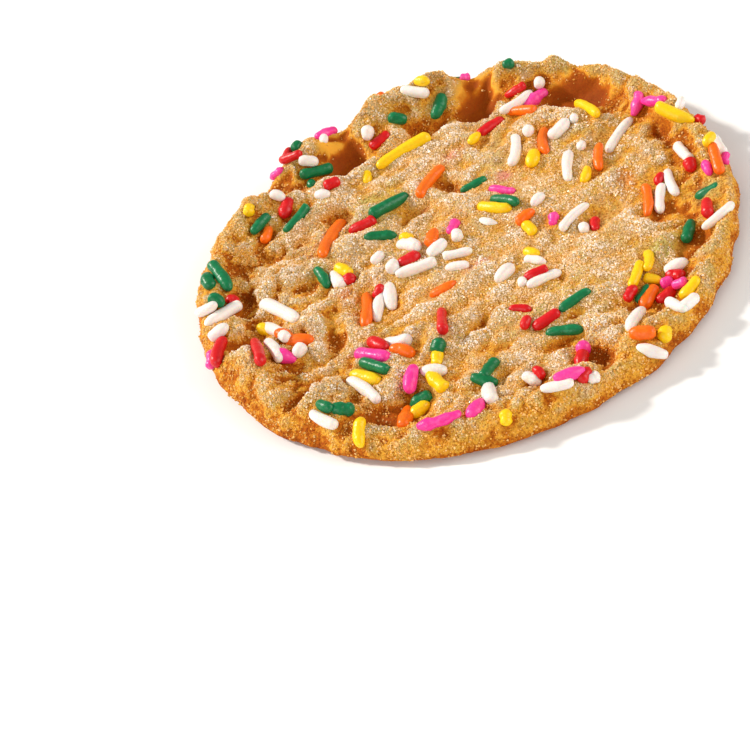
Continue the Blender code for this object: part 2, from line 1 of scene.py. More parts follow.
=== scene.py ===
"""Thin crisp sugar cookie with coloured sprinkles: its baked surface and its finishes.

The dough is one closed surface worked out from the same named sizes as the solid that it
replaces, with fine crumbs raised on it. Sprinkles, sugar crystals and crumbs are meshes at
true size, one piece for each kind. Metres, +Z up, origin at the middle of the underside.
"""

from __future__ import annotations

import logging
import math
from dataclasses import dataclass, field
from enum import Enum
from typing import Iterator

import bpy
import numpy as np
from mathutils import Matrix, Vector
from numpy.typing import NDArray


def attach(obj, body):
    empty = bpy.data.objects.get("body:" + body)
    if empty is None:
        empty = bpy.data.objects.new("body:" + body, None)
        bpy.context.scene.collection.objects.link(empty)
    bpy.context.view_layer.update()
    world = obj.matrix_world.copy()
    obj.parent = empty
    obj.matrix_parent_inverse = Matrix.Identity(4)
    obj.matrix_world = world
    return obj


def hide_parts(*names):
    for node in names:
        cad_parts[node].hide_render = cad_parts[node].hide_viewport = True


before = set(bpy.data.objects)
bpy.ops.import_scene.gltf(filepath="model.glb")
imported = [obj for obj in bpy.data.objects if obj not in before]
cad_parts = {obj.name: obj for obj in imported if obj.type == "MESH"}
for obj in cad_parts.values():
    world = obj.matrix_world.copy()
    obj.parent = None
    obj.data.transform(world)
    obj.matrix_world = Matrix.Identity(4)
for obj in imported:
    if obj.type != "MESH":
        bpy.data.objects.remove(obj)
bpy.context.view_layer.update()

LOG = logging.getLogger("thin_crisp_cookie")

Floats = NDArray[np.float64]
Ints = NDArray[np.int64]
Colour = tuple[float, float, float]
Swell = tuple[float, float, float, float, float, float]
Placed = tuple[float, float, float, str]
Onset = tuple[float, float]  # where a change starts and how wide it is
Noise = tuple[float, int]  # size of the lumps in mm, and seed
Stops = tuple[tuple[float, Colour], ...]

MM = 0.001
CAD_NODE = "cookie"
BODY = "root"
NOISE_GAIN = 1.5
SPRINKLE_AREA = 9.0 * MM  # no sprinkle reaches further than this from its middle
SHORTEST = 1e-12  # keeps a row of zeros from being divided by zero

# Lobes and creases of the rim: azimuth and half width in degrees, then how far
# each reaches out and how far it rises, in mm.
RIM_LOBES = (
    (100, 30, 0.7, 0.5), (54, 17, 1.9, 0.2), (40, 12, 0.5, 0.2), (29, 13, 1.0, -0.1),
    (74, 10, 0.4, 0.1), (88, 9, 0.4, 0.8), (115, 6, 0.6, 0.7), (142, 9, 0.9, 0.3), (157, 16, 1.5, 0.2),
    (176, 12, 0.4, -0.3), (103, 4.5, -0.7, -1.4), (71, 3, -0.5, -1.0), (127, 5, -0.7, -1.2),
    (47, 3, -0.2, -0.7), (5, 9, -0.1, 0.3), (-32, 28, -1.0, -0.6), (-82, 18, -0.4, 0.2),
    (-140, 12, -0.3, 0.0), (-120, 28, 0.0, -1.3),
)

# Lumps and hollows of the top: place, half length, half width in mm, heading in
# degrees from +X, and rise in mm.
LUMPS = (
    (-3, 42, 7, 4, 0, 0.9), (8.5, 42.5, 3.5, 3.5, -10, 0.9), (20.5, 40, 3.5, 4, -25, 0.9),
    (27, 36.5, 4, 4, -35, 0.9), (-17.5, 39, 3, 4, 25, 0.7), (-24, 38, 3, 3, 35, 0.7),
    (-31, 31, 4, 4, 45, 0.5), (-3.5, 36.5, 4.5, 3.5, 0, 1.3), (19.5, 33, 5, 4, 20, 1.4),
    (41.3, 11, 2.8, 6, 0, 0.9), (41.5, -1, 2.5, 5, 0, 1.0), (-38.5, -10, 5, 4, 60, 1.6),
    (-37, 3, 5, 1.7, 12, 1.6), (-27.5, -1.8, 6.5, 2, 25, 1.5), (-29, 11.5, 7, 3.5, -14, 1.5),
    (-31, -26, 5, 4.2, -50, 1.7), (-36.5, -18, 4, 3, -60, 1.0), (-1.4, 16.6, 4.4, 2.5, -32, 1.5),
    (-15, -39, 7, 2.6, -12, 0.9), (2.5, -39.8, 6, 2.4, 3, 1.0), (-12, -34.5, 4, 2.5, 0, 0.7),
    (17, -37.5, 5, 3, 15, 0.6), (-4, -28, 5, 3.5, 20, 1.0), (6, -34, 3.5, 3, 40, 0.8),
    (-7, -15, 7, 4, 30, 0.7), (17, -11, 8, 3, 30, 0.8), (25, 17, 9, 5, 60, 0.8),
    (-17, 26, 8, 4, 40, 0.8), (2, 29, 8, 3, 10, 0.8), (-14, 12, 7, 3.5, 30, 0.7),
    (11, 3, 5, 4, 40, 0.7), (-6, 2, 6, 4, 0, 0.5), (34, 6, 3, 6, -10, 0.6), (32, -24, 5, 3, 45, 0.5),
    (0, -8, 6, 3, -10, 0.6), (-24, -14, 4, 3, 20, 0.8), (14, -20, 5, 3, 10, 0.6),
    (25.3, 23.2, 6, 2.2, -42, 0.9), (-11, 30.3, 8, 2, 12, 0.9), (13, 31.5, 4, 1.8, -10, 0.7),
    (2.6, 10.5, 4.6, 2.2, -68, 1.3), (4.4, 3.0, 4.6, 2.0, -74, 0.8),
)

HOLLOWS = (
    (-12.3, 36.5, 4, 5.5, 5, -3.0), (13.7, 37.5, 4.4, 5, -15, -3.0), (29.3, 27.6, 6.8, 3.4, -42, -3.0),
    (-23.5, 33, 3, 3.5, 35, -2.2), (-36.3, 13.5, 2.8, 6, 5, -2.6), (-38.5, 6.6, 3.8, 2.1, 0, -2.5),
    (-39.5, -2.6, 3.8, 2.5, -15, -2.6), (-33.5, 22.5, 2.2, 5, -35, -1.9), (5.5, 35.5, 5, 2.2, 0, -2.0),
    (1.7, 17.4, 2.4, 3.4, 20, -1.9), (-26.8, 6, 3.2, 2, 25, -2.0), (-24.6, -6.5, 1.8, 5, -12, -2.0),
    (-16.3, -5, 5, 5, 0, -1.8), (32.2, -10, 4, 3.2, 0, -2.4), (32.5, -19.5, 3.6, 3, 20, -2.4),
    (22.5, -27, 5.5, 4.5, 10, -2.0), (10.8, -36, 2.2, 4, 10, -2.4), (-20.5, -30, 5.5, 2.4, -8, -2.6),
    (-33, -20.5, 4.5, 1.8, 35, -2.1), (37.5, 10, 1.5, 6, 5, -1.6), (22.5, -4.5, 5, 2.6, 30, -1.7),
    (8, -29.8, 4, 2, -10, -1.7), (-1.5, -22, 3, 5, 10, -1.4), (27, 6.5, 5, 2, 25, -1.4),
    (-35, -1, 2, 3, 30, -1.0), (-5.5, 13.5, 2.5, 4, -50, -1.0), (-31, 18, 4, 2, 20, -1.2),
)

# Sprinkles as seen from the front: place in mm, heading in degrees, and a code of colour
# letter and length in mm. A ~ marks one that is nearly covered by dough, and a capital
# letter a thicker one.
SPRINKLES = (
    # far rim
    (-0.8, 41.5, 140, "G4"), (6.6, 40.3, 62, "G6.5"), (3.8, 46.6, 138, "W6"), (5.6, 48.2, 140, "Y3"),
    (-6.6, 40.6, 70, "W2"), (-5.1, 37.9, 24, "R4.5"), (-13.3, 47.7, 10, "P4"), (-14.1, 43.8, 85, "w2"),
    (-18.9, 45.4, 50, "g2"), (-20.9, 44.4, 60, "r4"), (-20.6, 42.6, 172, "r4"), (-18.0, 39.4, 140, "W4"),
    (-17.4, 36.1, 172, "G6"), (-23.9, 44.8, 20, "p3"),
    (-19.1, 33.3, 80, "g2"), (-15.8, 31.0, 0, "R3"), (-18.0, 29.0, 150, "W3"), (-25.2, 33.0, 128, "W3.5"),
    (-30.5, 31.9, 75, "Y3"), (-29.7, 27.5, 40, "g5"), (-24.6, 29.3, 66, "R5"), (-23.7, 25.6, 40, "g7"),
    (-29.4, 24.2, 62, "O4"), (-2.2, 32.1, 16, "Y11"), (20.6, 43.7, 160, "g2"), (19.9, 36.3, 12, "r4"),
    (19.1, 33.6, 18, "w7"), (24.1, 35.6, 70, "W2"), (22.5, 32.0, 28, "P5"), (19.2, 29.9, 142, "o5"),
    (13.4, 29.1, 18, "r5.5"), (9.8, 27.8, 35, "y3"), (13.2, 49.6, 150, "p2"), (41.9, 14.9, 60, "w3"),
    (43.6, 8.8, 120, "r2"),
    # right side
    (28.9, 24.0, 108, "Y6"), (23.1, 21.4, 32, "W5"), (26.1, 22.2, 70, "w2"), (18.4, 23.9, 72, "W2"),
    (20.2, 19.5, 73, "o7"), (14.6, 20.1, 66, "w8"), (36.4, 19.4, 66, "p6"), (38.8, 18.3, 135, "p4"),
    (40.5, 13.1, 123, "Y9"), (16.7, 16.0, 62, "Y4"), (21.4, 10.6, 74, "w8"), (24.9, 14.5, 58, "w2"),
    (26.7, 10.2, 73, "o7"), (31.6, 13.3, 42, "w9"), (23.1, 6.7, 58, "y4"), (38.7, 2.6, 90, "w5"),
    (38.5, -1.5, 84, "R3"), (40.2, -3.4, 84, "p4"), (42.1, -2.2, 84, "o8"), (43.6, -2.9, 60, "p3"),
    (42.6, 3.0, 40, "y3"), (44.2, 1.0, 92, "w6"),
    (38.6, -8.0, 10, "g4~"), (36.9, -12.8, 68, "R4"), (37.5, -15.2, 24, "w7"), (32.7, -16.2, 56, "g5"),
    (29.4, -5.1, 76, "o8"), (31.8, -6.3, 70, "w7"), (34.6, -3.7, 86, "w7"), (33.2, -1.4, 52, "r3"),
    (18.0, -2.2, 30, "w7"), (15.0, -1.0, 62, "p3"), (18.5, -6.0, 80, "w2"), (20.5, -6.3, 74, "r3"),
    # middle
    (-8.4, 18.6, 14, "G7.5"), (-13.8, 16.5, 4, "R5"), (-11.8, 11.5, 154, "g6"), (-0.2, 20.6, 40, "O8"),
    (-19.2, 16.1, 54, "O9"), (6.0, 15.9, 10, "g5"), (7.3, 7.6, 138, "Y6"), (9.2, 8.4, 130, "g5"),
    (9.8, 11.1, 134, "p5"), (-13.6, 6.8, 35, "W3"), (-8.4, 6.8, 138, "W4"), (-8.0, 8.6, 130, "y3"),
    (-9.0, 3.5, 4, "R4"), (-12.0, 3.0, 60, "W2"), (-8.6, 1.1, 178, "w7"),
    (-4.0, 6.2, 66, "O4"), (-4.2, 3.2, 24, "W4"), (-0.3, 6.8, 50, "p3"), (-0.4, 4.5, 80, "W2"),
    (-1.5, 0.0, 164, "w5"), (-2.5, -3.1, 160, "w4"), (-6.0, -7.0, 14, "o5"),
    (5.3, 5.4, 128, "w4~"), (14.0, 5.0, 35, "w3"), (10.9, 2.2, 26, "O4"), (10.6, -0.9, 102, "y4"),
    (3.8, -9.2, 28, "W4"), (9.1, -9.0, 135, "w4"), (9.2, -6.7, 130, "y3"), (8.2, -12.0, 2, "r4"),
    (5.6, -12.6, 80, "w2"), (9.0, -14.0, 0, "w6"), (-8.3, -14.0, 72, "r5"), (-9.8, 30.0, 78, "y4~"),
    # left side
    (-40.9, 18.0, 96, "G4"), (-38.9, 18.0, 98, "G9"), (-40.8, 12.2, 116, "G4"),
    (-42.8, 11.4, 4, "w4"), (-40.6, 8.2, 20, "W7"), (-38.4, 10.9, 118, "R3"),
    (-42.0, 4.0, 22, "W4"), (-42.8, -0.4, 68, "R6.5"), (-44.7, -1.4, 70, "P4.5"),
    (-31.7, 3.0, 122, "W9"), (-34.8, 0.2, 128, "Y4"), (-33.4, -0.8, 122, "W6"),
    (-37.0, -4.2, 92, "R6"), (-34.7, -4.8, 98, "w6"), (-32.2, -3.8, 118, "O5"),
    (-33.2, -8.0, 126, "P5"), (-30.2, -5.8, 150, "O5"), (-30.7, -8.0, 40, "W2.5"),
    (-23.3, 7.4, 97, "G6"), (-21.0, 5.3, 97, "W5"), (-19.6, 7.1, 118, "Y4"), (-19.3, 4.4, 78, "R3"),
    (-18.7, -5.3, 70, "O8"), (-16.3, -5.5, 66, "W7"), (-14.0, -3.9, 80, "W7"), (-15.6, -1.2, 50, "r3"),
    # near side
    (-30.8, -25.5, 124, "W6"), (-29.9, -22.8, 128, "G3"), (-27.5, -24.8, 142, "G4"),
    (-26.3, -31.0, 74, "Y6.5"), (-23.7, -22.9, 112, "W8"), (-22.7, -19.7, 132, "Y6"),
    (-20.7, -18.4, 130, "G5.5"), (-20.4, -15.8, 140, "P6"), (-18.9, -14.0, 122, "R4"),
    (-16.1, -14.6, 160, "W4.5"), (-15.9, -17.4, 130, "O5"), (-16.2, -24.6, 66, "P6"),
    (-10.4, -19.5, 60, "G2"), (-11.3, -22.0, 70, "Y4"), (-12.6, -24.5, 150, "W4.5"),
    (-12.7, -27.0, 106, "Y5.5"),
    (-16.2, -29.9, 20, "G4"), (-16.8, -31.8, 28, "Y4"), (-19.2, -32.4, 60, "O4"), (-14.9, -35.1, 172, "p7"),
    (-9.2, -35.9, 40, "P4"), (-4.8, -28.9, 42, "g4"), (-6.2, -30.8, 134, "g5"), (-6.2, -34.2, 82, "W3.5"),
    (0.2, -34.6, 118, "W4"), (1.5, -33.9, 102, "r3"), (9.3, -32.6, 62, "P3"), (8.3, -34.9, 62, "R4"),
    (5.2, -36.2, 174, "P5"), (7.2, -37.7, 40, "r3"), (8.3, -39.0, 0, "w2"), (2.9, -37.5, 164, "w5"),
    (-5.7, -40.0, 76, "Y3.5"), (3.5, -18.6, 142, "r4"), (3.3, -22.1, 58, "r3"), (6.3, -23.4, 20, "r5"),
    (11.5, -21.5, 18, "g6"), (8.0, -27.3, 156, "g6"), (21.7, -21.1, 56, "y6"), (24.4, -19.4, 64, "y4"),
    (23.9, -23.7, 134, "y3.5"), (19.7, -25.0, 45, "r3.5"), (21.4, -25.8, 46, "g4"), (22.1, -27.5, 46, "O5"),
    (27.3, -24.9, 140, "R3"), (25.6, -25.9, 0, "p2"), (26.9, -26.9, 0, "p2"), (24.6, -28.3, 24, "R4"),
    (27.7, -28.8, 40, "Y5"), (28.0, -22.9, 5, "W4"), (24.5, -30.8, 116, "W4"), (26.1, -31.6, 22, "W4"),
    (18.3, -31.3, 40, "W5"), (17.7, -34.1, 155, "O4"), (20.9, -36.3, 70, "Y3.5"), (17.9, -38.2, 132, "W6"),
)

# Sprinkles on the outer slope at the back, at their true places.
BACK_SPRINKLES = (
    (-3.5, 44.4, 172, "o5"), (4.6, 44.4, 20, "w4"), (11.2, 44.0, 160, "g5"), (34.3, 31.6, 130, "w5"),
)

# Stains that melted sprinkles left, and pale or tan parts of the dough: place, half length
# and half width in mm, heading in degrees, tint and strength.
STAINS = (
    (5.0, 25.0, 2.6, 1.6, 20, "pink", 0.75), (-0.3, -6.0, 2.0, 1.4, 30, "pink", 0.5),
    (11.0, 14.0, 2.0, 1.4, 0, "pink", 0.4), (-13.0, 20.0, 4.0, 2.0, 15, "green", 0.4),
    (7.0, -21.0, 3.0, 1.8, 10, "green", 0.45), (38.8, -9.4, 2.4, 2.0, 0, "green", 0.6),
    (-9.0, 22.0, 3.5, 2.0, 10, "yellow", 0.4), (12.0, -18.0, 3.5, 2.0, 0, "yellow", 0.45),
    (28.0, -18.0, 3.0, 2.0, 0, "yellow", 0.45), (22.0, 2.0, 3.0, 2.0, 20, "yellow", 0.5),
    (-20.5, 0.5, 1.6, 3.0, -20, "orange", 0.7), (28.5, 1.0, 1.8, 2.6, -10, "orange", 0.7),
    (2.1, -5.7, 1.6, 1.2, 0, "pink", 0.5), (11.4, 14.3, 1.4, 1.2, 0, "pink", 0.6),
    (26.8, -17.9, 3.2, 2.0, 30, "green", 0.45), (-11.6, 22.8, 2.4, 1.6, 20, "green", 0.4),
    (-1.3, 16.4, 3.6, 2.2, -30, "cream", 0.7), (11.4, 20.5, 2.4, 5.0, -10, "cream", 0.55),
    (-11.0, 18.5, 3.0, 2.0, 20, "cream", 0.6), (-6.2, 0.6, 4.0, 2.4, 20, "cream", 0.5),
    (-6.0, -7.8, 5.0, 2.2, 20, "cream", 0.5), (-20.3, 17.2, 4.0, 2.6, 30, "cream", 0.6),
    (22.0, -7.0, 5.0, 3.0, 30, "cream", 0.4), (1.0, -21.5, 4.0, 2.4, 10, "cream", 0.45),
    (3.2, 4.2, 4.0, 3.0, -20, "tan", 0.5), (-5.2, 11.2, 3.4, 2.2, 20, "tan", 0.45),
    (26.0, 12.0, 5.0, 3.0, 50, "tan", 0.4), (20.0, -14.0, 5.0, 2.6, 25, "tan", 0.4),
)
STAIN_COLOURS = {
    "orange": (0.80, 0.22, 0.03),
    "pink": (0.80, 0.25, 0.24),
    "green": (0.42, 0.47, 0.20),
    "yellow": (0.78, 0.52, 0.06),
    "cream": (0.80, 0.60, 0.28),
    "tan": (0.56, 0.34, 0.13),
}


class SprinkleColour(Enum):
    """The six colours of sprinkle; each value is the letter that the lists use."""

    WHITE = "w"
    RED = "r"
    ORANGE = "o"
    YELLOW = "y"
    GREEN = "g"
    PINK = "p"

    @property
    def piece_name(self) -> str:
        """Name of the piece that holds every sprinkle of this colour."""
        return f"sprinkles_{self.name.lower()}"

    @property
    def slot_name(self) -> str:
        """Name of the record's material slot."""
        return f"sprinkle_{self.name.lower()}"


def smooth_step(t: Floats) -> Floats:
    """Rise from 0 to 1 as t goes from 0 to 1, level at both ends: 3 t^2 - 2 t^3."""
    t = np.clip(t, 0.0, 1.0)
    return t * t * (3.0 - 2.0 * t)


def ease(value: Floats, onset: Onset) -> Floats:
    """Smooth rise of a value from 0 to 1 over an onset: smooth_step((value - start) / width)."""
    start, width = onset
    return smooth_step((value - start) / width)


def gradient_noise(x: Floats, y: Floats, cell: tuple[float, float, float], seed: int) -> Floats:
    """Smooth flat noise: one random slope at each grid corner, blended by 6t^5 - 15t^4 + 10t^3.

    Args:
        x: Places along X, in metres.
        y: Places along Y, in metres.
        cell: A cell's length and width in mm and its heading in degrees.
        seed: Seed of the slopes.

    Returns:
        Values between about -1 and 1.
    """
    size = 64
    angles = np.random.default_rng(seed).uniform(0.0, 2.0 * math.pi, (size, size))
    length, width, heading = cell
    turn = math.radians(heading)
    u = (x * math.cos(turn) + y * math.sin(turn)) / (length * MM) + size / 2
    v = (y * math.cos(turn) - x * math.sin(turn)) / (width * MM) + size / 2
    column = np.floor(u).astype(int)
    row = np.floor(v).astype(int)
    u = u - column
    v = v - row
    fade_u = u**3 * (u * (6.0 * u - 15.0) + 10.0)
    fade_v = v**3 * (v * (6.0 * v - 15.0) + 10.0)
    total = np.zeros_like(u)
    for step_u in (0, 1):
        for step_v in (0, 1):
            angle = angles[(column + step_u) % size, (row + step_v) % size]
            slope = np.cos(angle) * (u - step_u) + np.sin(angle) * (v - step_v)
            weight_u = fade_u if step_u else 1.0 - fade_u
            weight_v = fade_v if step_v else 1.0 - fade_v
            total += slope * weight_u * weight_v
    return total * NOISE_GAIN


def solid_noise(points: Floats, cell: float, seed: int) -> Floats:
    """Smooth noise in space: a random slope at each corner of a cube, blended like the flat one.

    Args:
        points: Places in metres, in rows.
        cell: Edge of a cube in mm.
        seed: Seed of the slopes.

    Returns:
        Values between about -1 and 1.
    """
    size = 256
    rng = np.random.default_rng(seed)
    shuffle = rng.permutation(size)
    slopes = rng.normal(size=(size, 3))
    slopes /= np.linalg.norm(slopes, axis=1, keepdims=True)
    place = points / (cell * MM)
    corner = np.floor(place).astype(int)
    inside = place - corner
    fade = inside**3 * (inside * (6.0 * inside - 15.0) + 10.0)
    total = np.zeros(len(points))
    for step in np.ndindex(2, 2, 2):
        index = shuffle[(corner[:, 0] + step[0]) % size]
        index = shuffle[(index + corner[:, 1] + step[1]) % size]
        index = shuffle[(index + corner[:, 2] + step[2]) % size]
        slope = np.einsum("ij,ij->i", slopes[index], inside - step)
        weight = np.prod(np.where(step, fade, 1.0 - fade), axis=1)
        total += slope * weight
    return total * NOISE_GAIN


def unit_rows(vectors: Floats) -> Floats:
    """Each row divided by its own length."""
    return vectors / np.maximum(np.linalg.norm(vectors, axis=-1, keepdims=True), SHORTEST)


@dataclass(frozen=True)
class DoughForm:
    """Sizes of the baked dough and the height of its two faces, as in the solid.

    The crest share is where the rim is highest, as a share of the radius. It lies further
    out on one side. The folds are rounded ridges with a crease between them.
    """

    radius: float = 45.0 * MM
    middle_height: float = 3.5 * MM
    rim_height: float = 5.4 * MM
    far_rim_rise: float = 1.9 * MM
    edge_height: float = 1.3 * MM
    thinnest: float = 1.5 * MM
    crest_at: float = 0.915
    crest_shift: float = 0.035
    crest_shift_towards: float = -15.0
    rim_width: float = 0.11
    edge_fullness: float = 0.62
    base_at: float = 0.87
    relief_ends_at: float = 0.99
    edge_wave: tuple[float, float] = (5.0, 0.55)
    edge_seed: int = 15
    crinkles: tuple[tuple[float, ...], ...] = ((13.0, 10.0, 20, 0.8, 11), (4.2, 2.8, 30, 0.35, 13))
    folds: tuple[tuple[float, ...], ...] = ((9.5, 6.0, 14, 2.3, 12), (5.2, 3.8, 25, 1.2, 14))
    fold_softness: float = 0.08
    fold_mean: float = 0.35
    calm_place: tuple[float, float] = (13.0, 2.0)
    calm_reach: tuple[float, float] = (27.0, 18.0)
    calm_share: float = 0.65

    def rim_shape(self, azimuth: Floats) -> tuple[Floats, Floats]:
        """Radius of the edge and height of the rim: a mean plus bell-shaped lobes.

        Args:
            azimuth: Directions from the middle, in radians.

        Returns:
            Radius and rim height in metres.
        """
        wave_size, wave_reach = self.edge_wave
        around = self.radius * np.cos(azimuth), self.radius * np.sin(azimuth)
        wave = gradient_noise(*around, (wave_size, wave_size, 0.0), self.edge_seed)
        radius = self.radius + wave_reach * MM * wave
        crest = self.rim_height + self.far_rim_rise * np.clip(np.sin(azimuth), 0.0, 1.0)
        for middle, half_width, reach, rise in RIM_LOBES:
            turn = (np.degrees(azimuth) - middle + 180.0) % 360.0 - 180.0
            weight = np.exp(-((turn / half_width) ** 2))
            radius = radius + reach * MM * weight
            crest = crest + rise * MM * weight
        return radius, crest

    def crest_share(self, azimuth: Floats) -> Floats:
        """Where the rim is highest, as a share of the radius."""
        towards = np.cos(azimuth - math.radians(self.crest_shift_towards))
        return self.crest_at + self.crest_shift * towards

    @staticmethod
    def swell_weights(x: Floats, y: Floats, swell: Swell) -> Floats:
        """Weight of one swell: exp(-d^3), where d is the distance in half widths.

        Args:
            x: Places along X, in metres.
            y: Places along Y, in metres.
            swell: Place and half sizes in mm, heading in degrees, and rise in mm.

        Returns:
            Weights from 0 to 1.
        """
        place_x, place_y, along, across, heading, _ = swell
        turn = math.radians(heading)
        shift_x = x - place_x * MM
        shift_y = y - place_y * MM
        u = (shift_x * math.cos(turn) + shift_y * math.sin(turn)) / (along * MM)
        v = (shift_y * math.cos(turn) - shift_x * math.sin(turn)) / (across * MM)
        return np.exp(-((u * u + v * v) ** 1.5))

    def add_swells(self, x: Floats, y: Floats, swells: tuple[Swell, ...]) -> Floats:
        """Sum of rounded swells, each flat on top and steep at its sides.

        Args:
            x: Places along X, in metres.
            y: Places along Y, in metres.
            swells: The lumps or hollows.

        Returns:
            How far the dough rises, in metres.
        """
        total = np.zeros_like(x)
        for swell in swells:
            total += swell[-1] * MM * self.swell_weights(x, y, swell)
        return total

    def liveliness(self, x: Floats, y: Floats) -> Floats:
        """Share of the folds that rises at a place: 1 less a bell over the calm part of the floor.

        Args:
            x: Places along X, in metres.
            y: Places along Y, in metres.

        Returns:
            Shares from 1 less calm_share up to 1.
        """
        calm_x = (x / MM - self.calm_place[0]) / self.calm_reach[0]
        calm_y = (y / MM - self.calm_place[1]) / self.calm_reach[1]
        return 1.0 - self.calm_share * np.exp(-(calm_x**2) - calm_y**2)

    def top_height(self, x: Floats, y: Floats) -> Floats:
        """Height of the baked top: floor, rim, lumps, hollows and crinkles added up.

        Args:
            x: Places along X, in metres.
            y: Places along Y, in metres.

        Returns:
            Heights in metres.
        """
        azimuth = np.arctan2(y, x)
        radius, crest = self.rim_shape(azimuth)
        share = np.clip(np.hypot(x, y) / radius, 0.0, 1.0)
        crest_at = self.crest_share(azimuth)
        rise = smooth_step((share - crest_at + self.rim_width) / self.rim_width)
        inner = self.middle_height + (crest - self.middle_height) * rise
        roll = np.clip((share - crest_at) / (1.0 - crest_at), 0.0, 1.0)
        round_off = (1.0 - roll * roll) ** self.edge_fullness
        outer = self.edge_height + (inner - self.edge_height) * round_off
        relief = self.add_swells(x, y, LUMPS) + self.add_swells(x, y, HOLLOWS)
        for *cell, layer_rise, seed in self.crinkles:
            relief = relief + layer_rise * MM * gradient_noise(x, y, cell, seed)
        lively = self.liveliness(x, y)
        for *cell, layer_rise, seed in self.folds:
            folded = np.hypot(gradient_noise(x, y, cell, seed), self.fold_softness)
            relief = relief + lively * layer_rise * MM * (folded - self.fold_mean)
        fade = smooth_step((self.relief_ends_at - share) / (self.relief_ends_at - crest_at))
        floor = smooth_step((1.0 - share) / self.rim_width)
        least = self.edge_height + (self.thinnest - self.edge_height) * floor
        return np.maximum(outer + relief * fade, least)

    def underside_height(self, share: Floats) -> Floats:
        """Height of the underside: 0 on the table, then a quarter circle up to the edge."""
        curl = np.clip((share - self.base_at) / (1.0 - self.base_at), 0.0, 1.0)
        return self.edge_height * (1.0 - np.sqrt(1.0 - curl * curl))


@dataclass(frozen=True)
class SprinkleLie:
    """One sprinkle as it lies: its middle, its three directions, and its sizes in metres."""

    colour: SprinkleColour
    middle: Floats
    along: Floats
    across: Floats
    up: Floats
    half: float
    radius: float
    bow: float
    is_deep: bool
    is_in_front: bool

    @property
    def reach(self) -> float:
        """Half of the sprinkle's length, ends included."""
        return self.half + self.radius

    def run_along(self, points: Floats) -> Floats:
        """How far each point lies along the sprinkle from its middle, level with the table."""
        level = self.along[:2] / np.linalg.norm(self.along[:2])
        return (points[:, :2] - self.middle[:2]) @ level

    def axis_height(self, points: Floats) -> Floats:
        """Height of the sprinkle's axis beside each point."""
        run = np.clip(self.run_along(points), -self.reach, self.reach)
        return self.middle[2] + run * self.along[2] / np.linalg.norm(self.along[:2])

    def near(self, points: Floats) -> Ints:
        """Numbers of the points in a square of half width SPRINKLE_AREA round the sprinkle."""
        return np.flatnonzero(np.abs(points[:, :2] - self.middle[:2]).max(axis=1) < SPRINKLE_AREA)

    def gap(self, points: Floats) -> Floats:
        """Distance from the sprinkle's skin to each point, counted along the table's plane.

        Args:
            points: Places in metres, in rows.

        Returns:
            Distances in metres, below zero under the sprinkle.
        """
        run = self.run_along(points)
        bow = self.bow * (1.0 - np.clip(run / self.reach, -1.0, 1.0) ** 2)
        side = (points[:, :2] - self.middle[:2]) @ self.across[:2] - bow
        past_end = np.maximum(np.abs(run) - self.half, 0.0)
        return np.hypot(past_end, side) - self.radius


